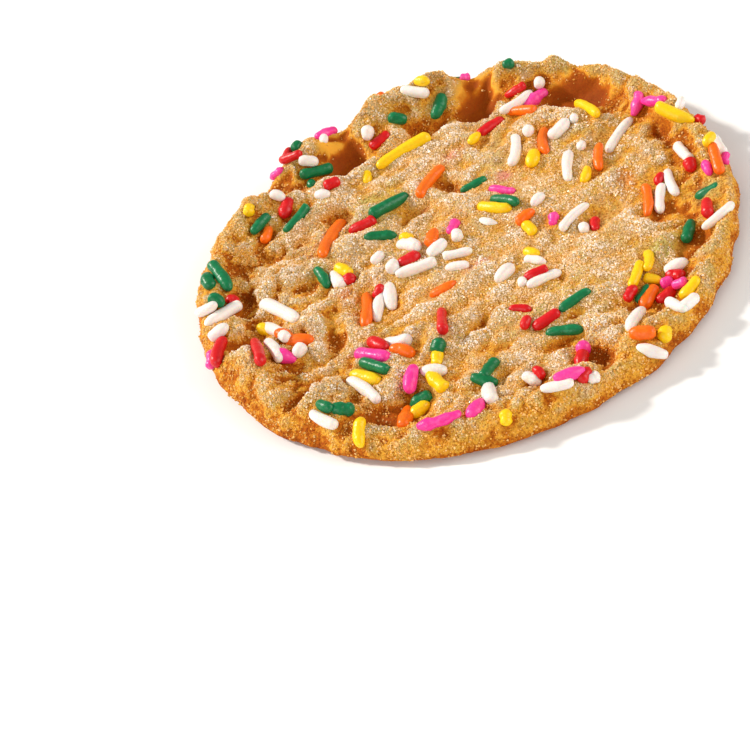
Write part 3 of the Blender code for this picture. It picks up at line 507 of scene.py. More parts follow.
@dataclass(frozen=True)
class SprinklePlan:
    """The rule that lays the sprinkles on the dough, as in the solid."""

    dough: DoughForm
    thickness: float = 1.7 * MM
    thickness_spread: float = 0.12
    thick_ones: float = 1.2
    sunk_share: float = 0.36
    sunk_spread: float = 0.08
    deep_sunk_share: float = 0.78
    heading_spread: float = 3.0
    slope_limits: tuple[float, float] = (-0.3, 0.45)
    slope_span: float = 0.8
    shortest_half: float = 0.15
    rests_at: float = 0.8
    middle_share: float = 0.6
    bend_share: float = 0.07
    seed: int = 2024
    sight_slope: float = 1.0 / math.tan(math.radians(40.5))
    seen_height: float = 2.3 * MM
    sight_top: float = 12.0 * MM
    sight_step: float = 0.05 * MM

    def slide_to_dough(self, seen_x: float, seen_y: float) -> tuple[float, float]:
        """Slide a place seen from the front down the line of sight onto the dough.

        Args:
            seen_x: Place along X, in metres.
            seen_y: Place along Y at seen_height, in metres.

        Returns:
            The first place inside the dough, or where the line passes closest to it.
        """
        z = np.arange(self.sight_top, 0.0, -self.sight_step)
        y = seen_y - (z - self.seen_height) * self.sight_slope
        x = np.full_like(y, seen_x)
        is_over = np.hypot(x, y) < self.dough.rim_shape(np.arctan2(y, x))[0]
        depth = np.where(is_over, self.dough.top_height(x, y) - z, -self.sight_top)
        hit = np.argmax(depth > 0.0) if np.any(depth > 0.0) else np.argmax(depth)
        return seen_x, float(y[hit])

    def true_places(self) -> Iterator[tuple[Placed, bool]]:
        """Give each sprinkle's true place.

        Yields:
            Place in metres, heading and code, and whether it lies on the side seen from the front.
        """
        for x, y, heading, code in SPRINKLES:
            yield (*self.slide_to_dough(x * MM, y * MM), heading, code), True
        for x, y, heading, code in BACK_SPRINKLES:
            yield (x * MM, y * MM, heading, code), False

    def true_direction(self, x: float, y: float, turn: float, span: float, sight: float) -> Floats:
        """Turn and tilt a sprinkle until it has the seen heading where it lies on the slope.

        A step (run_x, run_y, rise) looks like the level step (run_x, run_y + rise * sight).

        Args:
            x: Place of the middle along X, in metres.
            y: Place of the middle along Y, in metres.
            turn: Heading as seen, in radians.
            span: How far from the middle the slope is read, in metres.
            sight: Cotangent of the angle at which it is seen, 0 from straight above.

        Returns:
            The true step that looks like a level step of length 1.
        """
        across_x = x + span * np.array([-1.0, 1.0, 0.0, 0.0])
        across_y = y + span * np.array([0.0, 0.0, -1.0, 1.0])
        heights = self.dough.top_height(across_x, across_y)
        slope_x, slope_y = np.clip((heights[1::2] - heights[::2]) / (2.0 * span), *self.slope_limits)
        run_x = math.cos(turn)
        run_y = (math.sin(turn) - sight * slope_x * run_x) / (1.0 + sight * slope_y)
        return np.array([run_x, run_y, slope_x * run_x + slope_y * run_y])

    def lie(
        self, code: str, x: float, y: float, turn: float, draw: Floats, is_in_front: bool
    ) -> SprinkleLie:
        """Lay one sprinkle along the slope of the dough below its two ends.

        Args:
            code: Colour letter and length in mm, with a ~ if the dough nearly covers it.
            x: Place of the middle along X, in metres.
            y: Place of the middle along Y, in metres.
            turn: Heading as seen, in radians.
            draw: Four numbers between -1 and 1 for thickness, heading, bend and depth.
            is_in_front: Whether it lies on the side that shows from the front.

        Returns:
            The sprinkle's middle, directions and sizes.
        """
        length = float(code[1:].rstrip("~")) * MM
        growth = self.thick_ones if code[0].isupper() else 1.0
        thickness = self.thickness * growth * (1.0 + self.thickness_spread * draw[0])
        sunk = self.deep_sunk_share if "~" in code else self.sunk_share + self.sunk_spread * draw[3]
        seen_turn = turn + math.radians(self.heading_spread) * draw[1]
        sight = self.sight_slope if is_in_front else 0.0
        step = self.true_direction(x, y, seen_turn, self.slope_span * length / 2, sight)
        length *= float(np.linalg.norm(step))
        turn = math.atan2(step[1], step[0])
        tilt = math.atan2(step[2], math.hypot(step[0], step[1]))
        radius = thickness / 2
        half = max(length / 2 - radius, self.shortest_half * radius)
        level = np.array([math.cos(turn), math.sin(turn)])
        rests = np.array([x, y]) + level * half * self.rests_at * np.array([[-1.0], [0.0], [1.0]])
        first, middle, last = self.dough.top_height(rests[:, 0], rests[:, 1])
        end_share = (1.0 - self.middle_share) / 2
        lift = self.middle_share * middle + end_share * (first + last) + thickness * (0.5 - sunk)
        return SprinkleLie(
            colour=SprinkleColour(code[0].lower()),
            middle=np.array([x, y, lift]),
            along=np.array([*(level * math.cos(tilt)), math.sin(tilt)]),
            across=np.array([-level[1], level[0], 0.0]),
            up=np.array([*(-level * math.sin(tilt)), math.cos(tilt)]),
            half=half,
            radius=radius,
            bow=self.bend_share * draw[2] * length,
            is_deep="~" in code,
            is_in_front=is_in_front,
        )

    def lies(self) -> list[SprinkleLie]:
        """Lay every sprinkle, each with four random numbers of its own.

        Returns:
            The sprinkles, those in front first.
        """
        rng = np.random.default_rng(self.seed)
        laid = []
        for (x, y, heading, code), is_in_front in self.true_places():
            draw = rng.uniform(-1.0, 1.0, 4)
            laid.append(self.lie(code, x, y, math.radians(heading), draw, is_in_front))
        return laid


@dataclass
class Skin:
    """A closed surface of triangles, with named values at its points."""

    points: Floats
    triangles: Ints
    values: dict[str, Floats] = field(default_factory=dict)

    def face_normals(self) -> Floats:
        """Normals of the triangles, as long as twice their area."""
        a, b, c = (self.points[self.triangles[:, corner]] for corner in range(3))
        return np.cross(b - a, c - a)

    def point_normals(self) -> Floats:
        """Unit normals at the points: the sum of the normals of the triangles around each.

        Returns:
            Normals in rows.
        """
        normals = self.face_normals()
        total = np.zeros_like(self.points)
        for corner in range(3):
            for axis in range(3):
                total[:, axis] += np.bincount(
                    self.triangles[:, corner], normals[:, axis], minlength=len(self.points)
                )
        return unit_rows(total)

    def make_piece(self, name: str, material: bpy.types.Material, is_smooth: bool) -> bpy.types.Object:
        """Turn the surface into an object with one material.

        Args:
            name: Name of the piece.
            material: Its finish.
            is_smooth: Whether its faces are shaded smooth.

        Returns:
            The object, linked to the scene.
        """
        mesh = bpy.data.meshes.new(name)
        count = len(self.triangles)
        mesh.vertices.add(len(self.points))
        mesh.vertices.foreach_set("co", self.points.astype(np.float32).ravel())
        mesh.loops.add(3 * count)
        mesh.loops.foreach_set("vertex_index", self.triangles.astype(np.int32).ravel())
        mesh.polygons.add(count)
        mesh.polygons.foreach_set("loop_start", np.arange(0, 3 * count, 3, dtype=np.int32))
        mesh.polygons.foreach_set("use_smooth", np.full(count, is_smooth))
        for label, numbers in self.values.items():
            kind, key = ("FLOAT", "value") if numbers.ndim == 1 else ("FLOAT_COLOR", "color")
            attribute = mesh.attributes.new(label, kind, "POINT")
            attribute.data.foreach_set(key, numbers.astype(np.float32).ravel())
        mesh.update(calc_edges=True)
        mesh.validate()
        mesh.materials.append(material)
        piece = bpy.data.objects.new(name, mesh)
        bpy.context.scene.collection.objects.link(piece)
        LOG.info("%s: %d triangles", name, count)
        return piece


def fit_piece(piece: bpy.types.Object, slot: str) -> None:
    """Let a piece ride on the cookie and stand for its solid, which is hidden.

    Args:
        piece: The piece.
        slot: Name of the record's material slot; not used.
    """
    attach(piece, BODY)
    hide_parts(CAD_NODE)


def disc_grid(count: int) -> tuple[Floats, Floats, Ints]:
    """Bend a square grid into a disc: each square ring becomes a circle of the same size.

    Args:
        count: Points along a side.

    Returns:
        Distance from the middle (0 to 1) and azimuth of each point, and the triangles.
    """
    line = np.linspace(-1.0, 1.0, count)
    a, b = np.meshgrid(line, line, indexing="ij")
    is_wide = np.abs(a) > np.abs(b)
    safe_a = np.where(a == 0.0, 1.0, a)
    safe_b = np.where(b == 0.0, 1.0, b)
    signed = np.where(is_wide, a, b)
    turn = np.where(is_wide, math.pi / 4 * b / safe_a, math.pi / 2 - math.pi / 4 * a / safe_b)
    x = signed * np.cos(turn)
    y = signed * np.sin(turn)
    index = np.arange(count * count).reshape(count, count)
    corners = index[:-1, :-1], index[1:, :-1], index[1:, 1:], index[:-1, 1:]
    low = np.stack((corners[0], corners[1], corners[2]), axis=-1).reshape(-1, 3)
    high = np.stack((corners[0], corners[2], corners[3]), axis=-1).reshape(-1, 3)
    return np.abs(signed).ravel(), np.arctan2(y, x).ravel(), np.concatenate((low, high))


def grid_border(count: int) -> Ints:
    """Point numbers round the border of a square grid, anticlockwise seen from above."""
    index = np.arange(count * count).reshape(count, count)
    return np.concatenate((index[:-1, 0], index[-1, :-1], index[:0:-1, -1], index[0, :0:-1]))


def soften(grid: Floats, reach: int) -> Floats:
    """Blur a grid with a bell exp(-s^2 / 2), s in units of reach, its edges repeated.

    Args:
        grid: Values on a square grid.
        reach: Reach of the bell in cells.

    Returns:
        The blurred grid.
    """
    margin = 3 * reach
    steps = np.arange(-margin, margin + 1)
    bell = np.exp(-0.5 * (steps / reach) ** 2)
    bell /= bell.sum()
    padded = np.pad(grid, margin, mode="edge")
    for axis in (0, 1):
        padded = sum(weight * np.roll(padded, step, axis) for step, weight in zip(steps, bell))
    return padded[margin:-margin, margin:-margin]


@dataclass(frozen=True)
class CrumbRule:
    """How strongly the layers of crumb rise, from place to place on the top.

    Layers finer than fine_below have shares of their own. Onsets are in shares of the radius.
    """

    floor: float = 0.42
    edge: float = 0.5
    left: float = 0.5
    patch: float = 0.3
    patch_noise: Noise = (9.0, 30)
    rim_loss: float = 0.55
    lip_loss: float = 0.35
    scoop_loss: float = 0.75
    collar_loss: float = 0.8
    fine_below: float = 1.5
    fine_floor: float = 0.35
    fine_edge: float = 0.35
    fine_left: float = 0.5
    fine_rim_loss: float = 0.45
    edge_onset: Onset = (0.5, 0.4)
    rim_onset: Onset = (0.8, 0.12)
    fine_rim_onset: Onset = (0.8, 0.1)
    lip_onset: Onset = (0.9, 0.1)

    def roughness(self, points: Floats, share: Floats, left: Floats) -> Floats:
        """Strength of all layers together: more towards the edge and the left, and in patches.

        Args:
            points: Places in metres, in rows.
            share: How far out each lies, as a share of the radius.
            left: How far each lies to the left, 0 to 1.

        Returns:
            Factors for the rise of the crumbs.
        """
        patch = solid_noise(points, *self.patch_noise)
        return self.floor + self.edge * ease(share, self.edge_onset) + self.left * left + self.patch * patch

    def layer_strength(self, cell: float, share: Floats, left: Floats) -> Floats:
        """Strength of one layer: coarse ones fade at the rim, fine ones grow towards it first.

        Args:
            cell: Size of the layer's lumps in mm.
            share: How far out each point lies, as a share of the radius.
            left: How far each lies to the left, 0 to 1.

        Returns:
            Factors for the rise of the layer.
        """
        if cell >= self.fine_below:
            return 1.0 - self.rim_loss * ease(share, self.rim_onset)
        strength = self.fine_floor + self.fine_edge * ease(share, self.edge_onset) + self.fine_left * left
        return strength - self.fine_rim_loss * ease(share, self.fine_rim_onset)

    def kept(self, share: Floats, scoop: Floats, collar: Floats) -> Floats:
        """Share of the crumbs that stays in smooth hollows, round sprinkles and at the lip."""
        keep = (1.0 - self.scoop_loss * scoop) * (1.0 - self.collar_loss * collar)
        return keep * (1.0 - self.lip_loss * ease(share, self.lip_onset))


@dataclass(frozen=True)
class Zones:
    """Where each point of the skin lies, and noise there: what browning, painted shade and sugar depend on.
    """

    rim: Floats
    outer: Floats
    under_edge: Floats
    left: Floats
    right: Floats
    patch: Floats
    fleck: Floats
    cloud: Floats
    near_hollow: Floats
    wide_hollow: Floats
    scoop: Floats
    collar: Floats
    crumb: Floats

    @property
    def lively(self) -> Floats:
        """Where the dough is most uneven: the larger of rim and left."""
        return np.maximum(self.rim, self.left)


@dataclass(frozen=True)
class BrowningAndShadeRule:
    """How far the dough is browned, with painted shade in hollows, crumb creases and round sprinkles: 0
    pale, 0.6 golden orange, 1 burnt.
    """

    floor: float = 0.29
    rim: float = 0.25
    outer: float = 0.03
    left: float = 0.14
    # Darker and less sugared towards the right.
    right: float = 0.05
    patch: float = 0.14
    fleck: float = 0.22
    even_rim: float = 0.4
    # Hollow terms: partly real browning, partly painted shade where less light falls.
    near_hollow: float = 0.3
    lively_hollow: float = 0.45
    wide_hollow: float = 0.2
    scoop: float = 0.36
    # Deeper scoops darker: partly their burnt colour, partly painted shade.
    scoop_depth: float = 0.18
    cloud: float = 0.16
    # Painted contact shade round each sprinkle.
    collar: float = 0.1
    # Raised crumbs paler, their creases browner: partly real, partly painted shade in the creases.
    crumb: float = 0.25
    lively_crumb: float = 0.1
    crumb_limits: tuple[float, float] = (-0.5, 0.3)
    least_in_scoop: float = 0.6
    most: float = 0.8
    more_in_scoop: float = 0.17
    under_floor: float = 0.66
    under_patch: float = 0.12
    under_fleck: float = 0.1
    under_edge: float = 0.2

    def top(self, zones: Zones) -> Floats:
        """Browning of the top with painted shade: a sum that grows towards the rim, in hollows and on the
        outer face.

        Args:
            zones: Where the points lie.

        Returns:
            Browning and painted shade at the points.
        """
        brown_and_shade = self.floor + self.rim * zones.rim + self.outer * zones.outer * (1.0 - zones.left)
        spots = self.patch * zones.patch + self.fleck * zones.fleck
        brown_and_shade += spots * (1.0 - self.even_rim * zones.rim)
        brown_and_shade += self.left * zones.left + self.right * zones.right
        # Browner in hollows: partly real browning, partly painted shade.
        hollows = (self.near_hollow + self.lively_hollow * zones.lively) * zones.near_hollow
        brown_and_shade += hollows + self.wide_hollow * zones.wide_hollow
        # Scoops burnt orange, darker the deeper they lie: partly own colour, partly painted shade.
        brown_and_shade += zones.scoop * (self.scoop + self.scoop_depth * zones.wide_hollow) - self.cloud * zones.cloud
        # Painted contact shade round each sprinkle.
        brown_and_shade += self.collar * zones.collar
        # Raised crumbs paler, their creases browner: partly real, partly painted shade in the creases.
        crumb = np.clip(zones.crumb, *self.crumb_limits)
        brown_and_shade -= (self.crumb + self.lively_crumb * zones.lively) * crumb
        most = self.most + self.more_in_scoop * zones.scoop
        return np.clip(brown_and_shade, self.least_in_scoop * zones.scoop, most)

    def underside(self, zones: Zones) -> Floats:
        """Browning of the underside, darker towards its edge."""
        spots = self.under_patch * zones.patch + self.under_fleck * zones.fleck
        return self.under_floor + spots + self.under_edge * zones.under_edge


@dataclass(frozen=True)
class SugarRule:
    """How much sugar lies on the dough: most on the ridges of the floor, none in smooth hollows, less in
    other hollows, partly as painted shade.
    """

    floor: float = 0.66
    rim: float = 0.7
    left: float = 0.5
    # Darker and less sugared towards the right.
    right: float = 0.3
    patch: float = 0.3
    cloud: float = 0.8
    even_rim: float = 0.5
    # Less sugar, so darker, in hollows: partly real, partly painted shade.
    near_hollow: float = 0.8
    wide_hollow: float = 0.4
    collar: float = 0.35
    underside: float = 0.12

    def top(self, zones: Zones) -> Floats:
        """Sugar on the top.

        Args:
            zones: Where the points lie.

        Returns:
            Sugar cover at the points.
        """
        edge = np.maximum(zones.rim, self.left * zones.left)
        sugar = self.floor - self.rim * edge - self.right * zones.right
        spots = (self.patch * zones.patch + self.cloud * zones.cloud) * (1.0 - self.even_rim * zones.rim)
        sugar += spots - self.near_hollow * zones.near_hollow - self.wide_hollow * zones.wide_hollow
        return sugar * (1.0 - zones.scoop) * (1.0 - self.collar * zones.collar)


@dataclass
class BakedDough:
    """The baked dough as one closed skin: a crumbly top, a browned edge and a flat underside."""

    form: DoughForm
    sprinkles: list[SprinkleLie]
    crumb_rule: CrumbRule = field(default_factory=CrumbRule)
    browning_and_shade: BrowningAndShadeRule = field(default_factory=BrowningAndShadeRule)
    sugar: SugarRule = field(default_factory=SugarRule)
    top_count: int = 281
    underside_count: int = 141
    edge_crowding: float = 0.13
    edge_power: int = 8
    curl_turn: float = math.radians(80.0)
    curl_from: float = 0.84
    crumbs: tuple[tuple[float, float, int], ...] = (
        (5.0, 1.9, 31), (2.3, 1.0, 32), (1.15, 0.45, 33), (0.65, 0.18, 34),
    )
    crumb_softness: float = 0.1
    crumb_mean: float = 0.3
    grain: float = 0.035 * MM
    collar_reach: float = 0.7 * MM
    bed_rise: float = 0.05 * MM
    bed_slope: float = 0.55
    bed_reach: float = 1.3 * MM
    pits: tuple[tuple[float, float, float, int], ...] = ((1.0, 0.15, 1.7, 35), (0.4, 0.1, 0.9, 36))
    pit_depth: float = 0.35 * MM
    pit_edge: float = 0.5
    scoop_depth: Onset = (1.8, 1.2)
    scoop_edge: Onset = (0.04, 0.8)
    scoop_left: Onset = (0.5, 0.25)
    scoop_left_loss: float = 0.6
    soft_reach: int = 6
    soft_share: float = 0.6
    rim_onset: Onset = (0.74, 0.2)
    under_edge_onset: Onset = (0.8, 0.2)
    left_onset: Onset = (0.25, 0.7)
    right_onset: Onset = (0.1, 0.5)
    patch_noise: Noise = (11.0, 41)
    fleck_noise: Noise = (3.2, 42)
    cloud_noise: Noise = (5.0, 43)
    near_reach: int = 3
    near_limits: tuple[float, float] = (-0.25, 0.8)
    wide_reach: int = 9
    wide_limits: tuple[float, float] = (-1.2, 1.2)
    least_stain: float = 1e-6
    most_stain: float = 0.8
    seed: int = 71

    @property
    def top_faces(self) -> int:
        """How many of the skin's triangles belong to the top."""
        return 2 * (self.top_count - 1) ** 2

    def build(self) -> Skin:
        """Work out the whole skin with its crumbs, and the values that its finish reads.

        Returns:
            The skin, the points and triangles of its top first.
        """
        top_share, top_turn, top_faces = disc_grid(self.top_count)
        low_share, low_turn, low_faces = disc_grid(self.underside_count)
        top = self.top_points(top_share, top_turn)
        self.soften_floor(top)
        low = self.underside_points(low_share, low_turn)
        shift = len(top)
        band = self.edge_band(grid_border(self.top_count), grid_border(self.underside_count) + shift)
        faces = np.concatenate((top_faces, low_faces[:, ::-1] + shift, band))
        skin = Skin(np.concatenate((top, low)), faces)
        is_top = np.arange(len(skin.points)) < shift
        self.add_collars(skin, is_top)
        self.add_crumbs(skin, is_top)
        self.set_values(skin, is_top)
        return skin

    def top_points(self, ring: Floats, turn: Floats) -> Floats:
        """Points of the top, closer together at the edge: share = (1 + a) r - a r^8.

        Args:
            ring: Distance from the middle on the grid, 0 to 1.
            turn: Azimuth in radians.

        Returns:
            Points in metres.
        """
        crowd = self.edge_crowding
        share = (1.0 + crowd) * ring - crowd * ring**self.edge_power
        reach = share * self.form.rim_shape(turn)[0]
        x = reach * np.cos(turn)
        y = reach * np.sin(turn)
        return np.column_stack((x, y, self.form.top_height(x, y)))

    def soften_floor(self, top: Floats) -> None:
        """Even out the small ripples where the floor is calm: blend towards the blurred height.

        Args:
            top: Points of the top in metres, moved in place.
        """
        even = soften(top[:, 2].reshape(self.top_count, self.top_count), self.soft_reach).ravel()
        calm = (1.0 - self.form.liveliness(top[:, 0], top[:, 1])) / self.form.calm_share
        top[:, 2] += self.soft_share * calm * (even - top[:, 2])

    def underside_points(self, ring: Floats, turn: Floats) -> Floats:
        """Points of the underside: even on the flat base, then in even turns up the curl.

        Args:
            ring: Distance from the middle on the grid, 0 to 1.
            turn: Azimuth in radians.

        Returns:
            Points in metres.
        """
        base = self.form.base_at
        past = np.clip((ring - self.curl_from) / (1.0 - self.curl_from), 0.0, 1.0)
        curl = base + (1.0 - base) * np.sin(past * self.curl_turn)
        share = np.where(ring < self.curl_from, ring / self.curl_from * base, curl)
        reach = share * self.form.rim_shape(turn)[0]
        height = self.form.underside_height(share)
        return np.column_stack((reach * np.cos(turn), reach * np.sin(turn), height))

    @staticmethod
    def edge_band(top: Ints, low: Ints) -> Ints:
        """Join the top's border to the underside's, which has half its points.

        Args:
            top: Point numbers round the top's border.
            low: Point numbers round the underside's border.

        Returns:
            Triangles that face outwards.
        """
        low_next = np.roll(low, -1)
        first, middle = top[0::2], top[1::2]
        last = np.roll(first, -1)
        rows = (low, middle, first), (low, low_next, middle), (low_next, last, middle)
        return np.concatenate([np.column_stack(row) for row in rows])

    def add_collars(self, skin: Skin, is_top: NDArray[np.bool_]) -> None:
        """Bed each sprinkle in the dough: where the dough would cover it, it gives way.

        The dough stays below axis height + bed_rise + gap * bed_slope around a sprinkle.

        Args:
            skin: The skin, whose points move in place and get the value "collar".
            is_top: Which of its points belong to the top.
        """
        gap = np.full(len(skin.points), SPRINKLE_AREA)
        for sprinkle in self.sprinkles:
            near = sprinkle.near(skin.points)
            near = near[is_top[near]]
            away = sprinkle.gap(skin.points[near])
            gap[near] = np.minimum(gap[near], away)
            if sprinkle.is_deep or not sprinkle.is_in_front:
                continue
            bed = sprinkle.axis_height(skin.points[near]) + self.bed_rise
            limit = bed + self.bed_slope * np.maximum(away, 0.0)
            over = np.maximum(skin.points[near, 2] - limit, 0.0)
            fade = 1.0 - smooth_step((away - self.bed_reach) / self.bed_reach)
            skin.points[near, 2] -= over * fade
        collar = np.exp(-((np.maximum(gap, 0.0) / self.collar_reach) ** 2))
        skin.values["collar"] = np.where(is_top, collar, 0.0)

    def scoop_share(self, points: Floats) -> Floats:
        """How far each point lies in one of the deep hollows that baked smooth.

        Args:
            points: Places in metres, in rows.

        Returns:
            Shares from 0 to 1, less at the left.
        """
        start, width = self.scoop_depth
        total = np.zeros(len(points))
        for swell in HOLLOWS:
            depth = np.clip((-swell[-1] - start) / width, 0.0, 1.0)
            weight = self.form.swell_weights(points[:, 0], points[:, 1], swell)
            total = np.maximum(total, depth * ease(weight, self.scoop_edge))
        left = ease(-points[:, 0] / self.form.radius, self.scoop_left)
        return total * (1.0 - self.scoop_left_loss * left)

    def add_crumbs(self, skin: Skin, is_top: NDArray[np.bool_]) -> None:
        """Push the skin out along its normals by folded noise, and press pits in the underside.

        Each layer is rise * (hypot(noise, softness) - mean), rounded lumps with creases.

        Args:
            skin: The skin, whose points move and get the values "scoop" and "crumb".
            is_top: Which of its points belong to the top.
        """
        points = skin.points
        normals = skin.point_normals()
        share = np.hypot(points[:, 0], points[:, 1]) / self.form.radius
        left = smooth_step(-points[:, 0] / self.form.radius)
        scoop = self.scoop_share(points) * is_top
        lift = np.zeros(len(points))
        for cell, rise, seed in self.crumbs:
            folded = np.hypot(solid_noise(points, cell, seed), self.crumb_softness)
            strength = self.crumb_rule.layer_strength(cell, share, left)
            lift += rise * MM * (folded - self.crumb_mean) * strength
        lift += np.random.default_rng(self.seed).normal(0.0, self.grain, len(points))
        lift *= self.crumb_rule.roughness(points, share, left)
        dip = np.zeros(len(points))
        for depth, start, cell, seed in self.pits:
            dip -= depth * self.pit_depth * ease(solid_noise(points, cell, seed), (start, self.pit_edge))
        keep = self.crumb_rule.kept(share, scoop, skin.values["collar"])
        skin.points = points + normals * np.where(is_top, lift * keep, dip)[:, None]
        skin.points[:, 2] = np.maximum(skin.points[:, 2], 0.0)
        skin.values["scoop"] = scoop
        skin.values["crumb"] = np.where(is_top, lift, dip) / MM

    def hollow_depth(self, height: Floats, reach: int, limits: tuple[float, float]) -> Floats:
        """How far the top lies below its surroundings: the blurred height less the height.

        Args:
            height: Heights of all points in metres, those of the top first.
            reach: Reach of the blur in cells.
            limits: Least and greatest depth given, in mm.

        Returns:
            Depths in mm, 0 at the underside.
        """
        top_total = self.top_count**2
        grid = height[:top_total].reshape(self.top_count, self.top_count)
        depth = np.zeros(len(height))
        depth[:top_total] = ((soften(grid, reach) - grid) / MM).ravel()
        return np.clip(depth, *limits)

    def zones(self, skin: Skin) -> Zones:
        """Find where each point lies.

        Args:
            skin: The skin with its crumbs.

        Returns:
            The zones and noise at its points.
        """
        x, y, z = skin.points.T
        azimuth = np.arctan2(y, x)
        share = np.hypot(x, y) / self.form.rim_shape(azimuth)[0]
        crest = self.form.crest_share(azimuth)
        return Zones(
            rim=ease(share, self.rim_onset),
            outer=smooth_step((share - crest) / (1.0 - crest)),
            under_edge=ease(share, self.under_edge_onset),
            left=ease(-x / self.form.radius, self.left_onset),
            right=ease(x / self.form.radius, self.right_onset),
            patch=solid_noise(skin.points, *self.patch_noise),
            fleck=solid_noise(skin.points, *self.fleck_noise),
            cloud=solid_noise(skin.points, *self.cloud_noise),
            near_hollow=self.hollow_depth(z, self.near_reach, self.near_limits),
            wide_hollow=self.hollow_depth(z, self.wide_reach, self.wide_limits),
            scoop=skin.values["scoop"],
            collar=skin.values["collar"],
            crumb=skin.values["crumb"],
        )

    def set_values(self, skin: Skin, is_top: NDArray[np.bool_]) -> None:
        """Set how browned each point is, with its painted shade, its sugar cover and stains.

        Args:
            skin: The skin with its crumbs.
            is_top: Which of its points belong to the top.
        """
        zones = self.zones(skin)
        brown_and_shade = np.where(is_top, self.browning_and_shade.top(zones), self.browning_and_shade.underside(zones))
        sugar = np.where(is_top, self.sugar.top(zones), self.sugar.underside)
        skin.values["browning_and_shade"] = np.clip(brown_and_shade, 0.0, 1.0)
        skin.values["sugar"] = np.clip(sugar, 0.0, 1.0)
        skin.values["stain"] = self.stains(skin.points, is_top)

    def stains(self, points: Floats, is_top: NDArray[np.bool_]) -> Floats:
        """Mix the colours of the stains by their weights at each point.

        Args:
            points: Places in metres, in rows.
            is_top: Which of them belong to the top.

        Returns:
            Red, green and blue, and the strength as alpha.
        """
        colour = np.zeros((len(points), 4))
        total = np.full(len(points), self.least_stain)
        for *place, tint, strength in STAINS:
            swell = self.form.swell_weights(points[:, 0], points[:, 1], (*place, 0.0))
            weight = strength * swell * is_top
            colour[:, :3] += weight[:, None] * np.array(STAIN_COLOURS[tint])
            total += weight
        colour[:, :3] /= total[:, None]
        colour[:, 3] = np.clip(total, 0.0, self.most_stain)
        return colour


@dataclass
class SprinkleBatch:
    """All sprinkles of one colour: short rods with rounded or blunt ends, a little lumpy."""

    colour: SprinkleColour
    lies: list[SprinkleLie]
    sides: int = 12
    cap_rings: int = 4
    body_rings: int = 3
    cap_reach: tuple[float, float] = (0.7, 2.3)
    blunt: tuple[float, float] = (0.55, 1.0)
    lump: tuple[float, float] = (0.02, 0.1)
    pink_lumps: float = 1.9
    lump_waves: tuple[float, float] = (2.5, 8.0)
    lump_shift: float = 6.3
    longest_cap: float = 0.8
    taper: float = 0.12
    dent: float = 0.022
    oval: float = 0.07
    seed: int = 500

    def build(self) -> Skin:
        """Join the skins of the colour's sprinkles into one.

        Returns:
            The skin, with each sprinkle's own tone at its points.
        """
        rng = np.random.default_rng(self.seed + ord(self.colour.value))
        points: list[Floats] = []
        faces: list[Ints] = []
        tones: list[Floats] = []
        offset = 0
        for lie in self.lies:
            shape = self.sprinkle_points(lie, rng)
            points.append(shape)
            faces.append(self.sprinkle_faces() + offset)
            tones.append(np.full(len(shape), rng.uniform(0.0, 1.0)))
            offset += len(shape)
        return Skin(np.concatenate(points), np.concatenate(faces), {"tone": np.concatenate(tones)})

    def stations(self, lie: SprinkleLie, rng: np.random.Generator) -> tuple[Floats, Floats]:
        """Rings from tip to tip: a cap is reach * cos(t) long and sin(t)^blunt wide.

        Args:
            lie: The sprinkle.
            rng: Source of its own shape.

        Returns:
            Place along the sprinkle in metres, and width as a share of its radius.
        """
        reach = np.minimum(rng.uniform(*self.cap_reach, 2) * lie.radius, self.longest_cap * lie.reach)
        blunt = rng.uniform(*self.blunt, 2)
        turn = np.linspace(0.0, math.pi / 2, self.cap_rings + 1)[1:]
        near = -lie.reach + reach[0] * (1.0 - np.cos(turn))
        far = lie.reach - reach[1] * (1.0 - np.cos(turn))
        body = np.linspace(near[-1], far[-1], self.body_rings + 2)[1:-1]
        place = np.concatenate((near, body, far[::-1]))
        ones = np.ones(self.body_rings)
        width = np.concatenate((np.sin(turn) ** blunt[0], ones, np.sin(turn[::-1]) ** blunt[1]))
        wave = np.sin(place / lie.reach * rng.uniform(*self.lump_waves) + rng.uniform(0.0, self.lump_shift))
        wave *= self.pink_lumps if self.colour is SprinkleColour.PINK else 1.0
        taper = 1.0 + rng.uniform(-self.taper, self.taper) * place / lie.reach
        return place, width * taper * (1.0 + rng.uniform(*self.lump) * wave)

    def sprinkle_points(self, lie: SprinkleLie, rng: np.random.Generator) -> Floats:
        """Points of one sprinkle: middle + along * station + radius * (across cos t + up sin t).

        Args:
            lie: The sprinkle.
            rng: Source of its own shape.

        Returns:
            Points ring by ring, and the two tips last.
        """
        place, width = self.stations(lie, rng)
        turn = np.arange(self.sides) * 2.0 * math.pi / self.sides
        oval = rng.uniform(-self.oval, self.oval)
        dent = rng.normal(0.0, self.dent, (len(place), self.sides))
        spread = lie.radius * width[:, None] * (1.0 + dent + oval * np.cos(2.0 * turn))
        bow = lie.bow * (1.0 - (place / lie.reach) ** 2)
        side = spread * np.cos(turn) + bow[:, None]
        high = spread * np.sin(turn)
        body = lie.middle + place[:, None, None] * lie.along
        body = body + side[..., None] * lie.across + high[..., None] * lie.up
        tips = lie.middle + np.array([[-lie.reach], [lie.reach]]) * lie.along
        return np.concatenate((body.reshape(-1, 3), tips))

    def sprinkle_faces(self) -> Ints:
        """Triangles of one sprinkle: bands between its rings and a fan at each tip.

        Returns:
            Triangles that face outwards.
        """
        rings = 2 * self.cap_rings + self.body_rings
        index = np.arange(rings * self.sides).reshape(rings, self.sides)
        turned = np.roll(index, -1, axis=1)
        a, b, c, d = index[:-1], turned[:-1], turned[1:], index[1:]
        tip = rings * self.sides
        start = np.full(self.sides, tip)
        end = start + 1
        bands = np.stack((a, b, c), axis=-1).reshape(-1, 3), np.stack((a, c, d), axis=-1).reshape(-1, 3)
        fans = np.column_stack((start, turned[0], index[0])), np.column_stack((end, index[-1], turned[-1]))
        return np.concatenate((*bands, *fans))


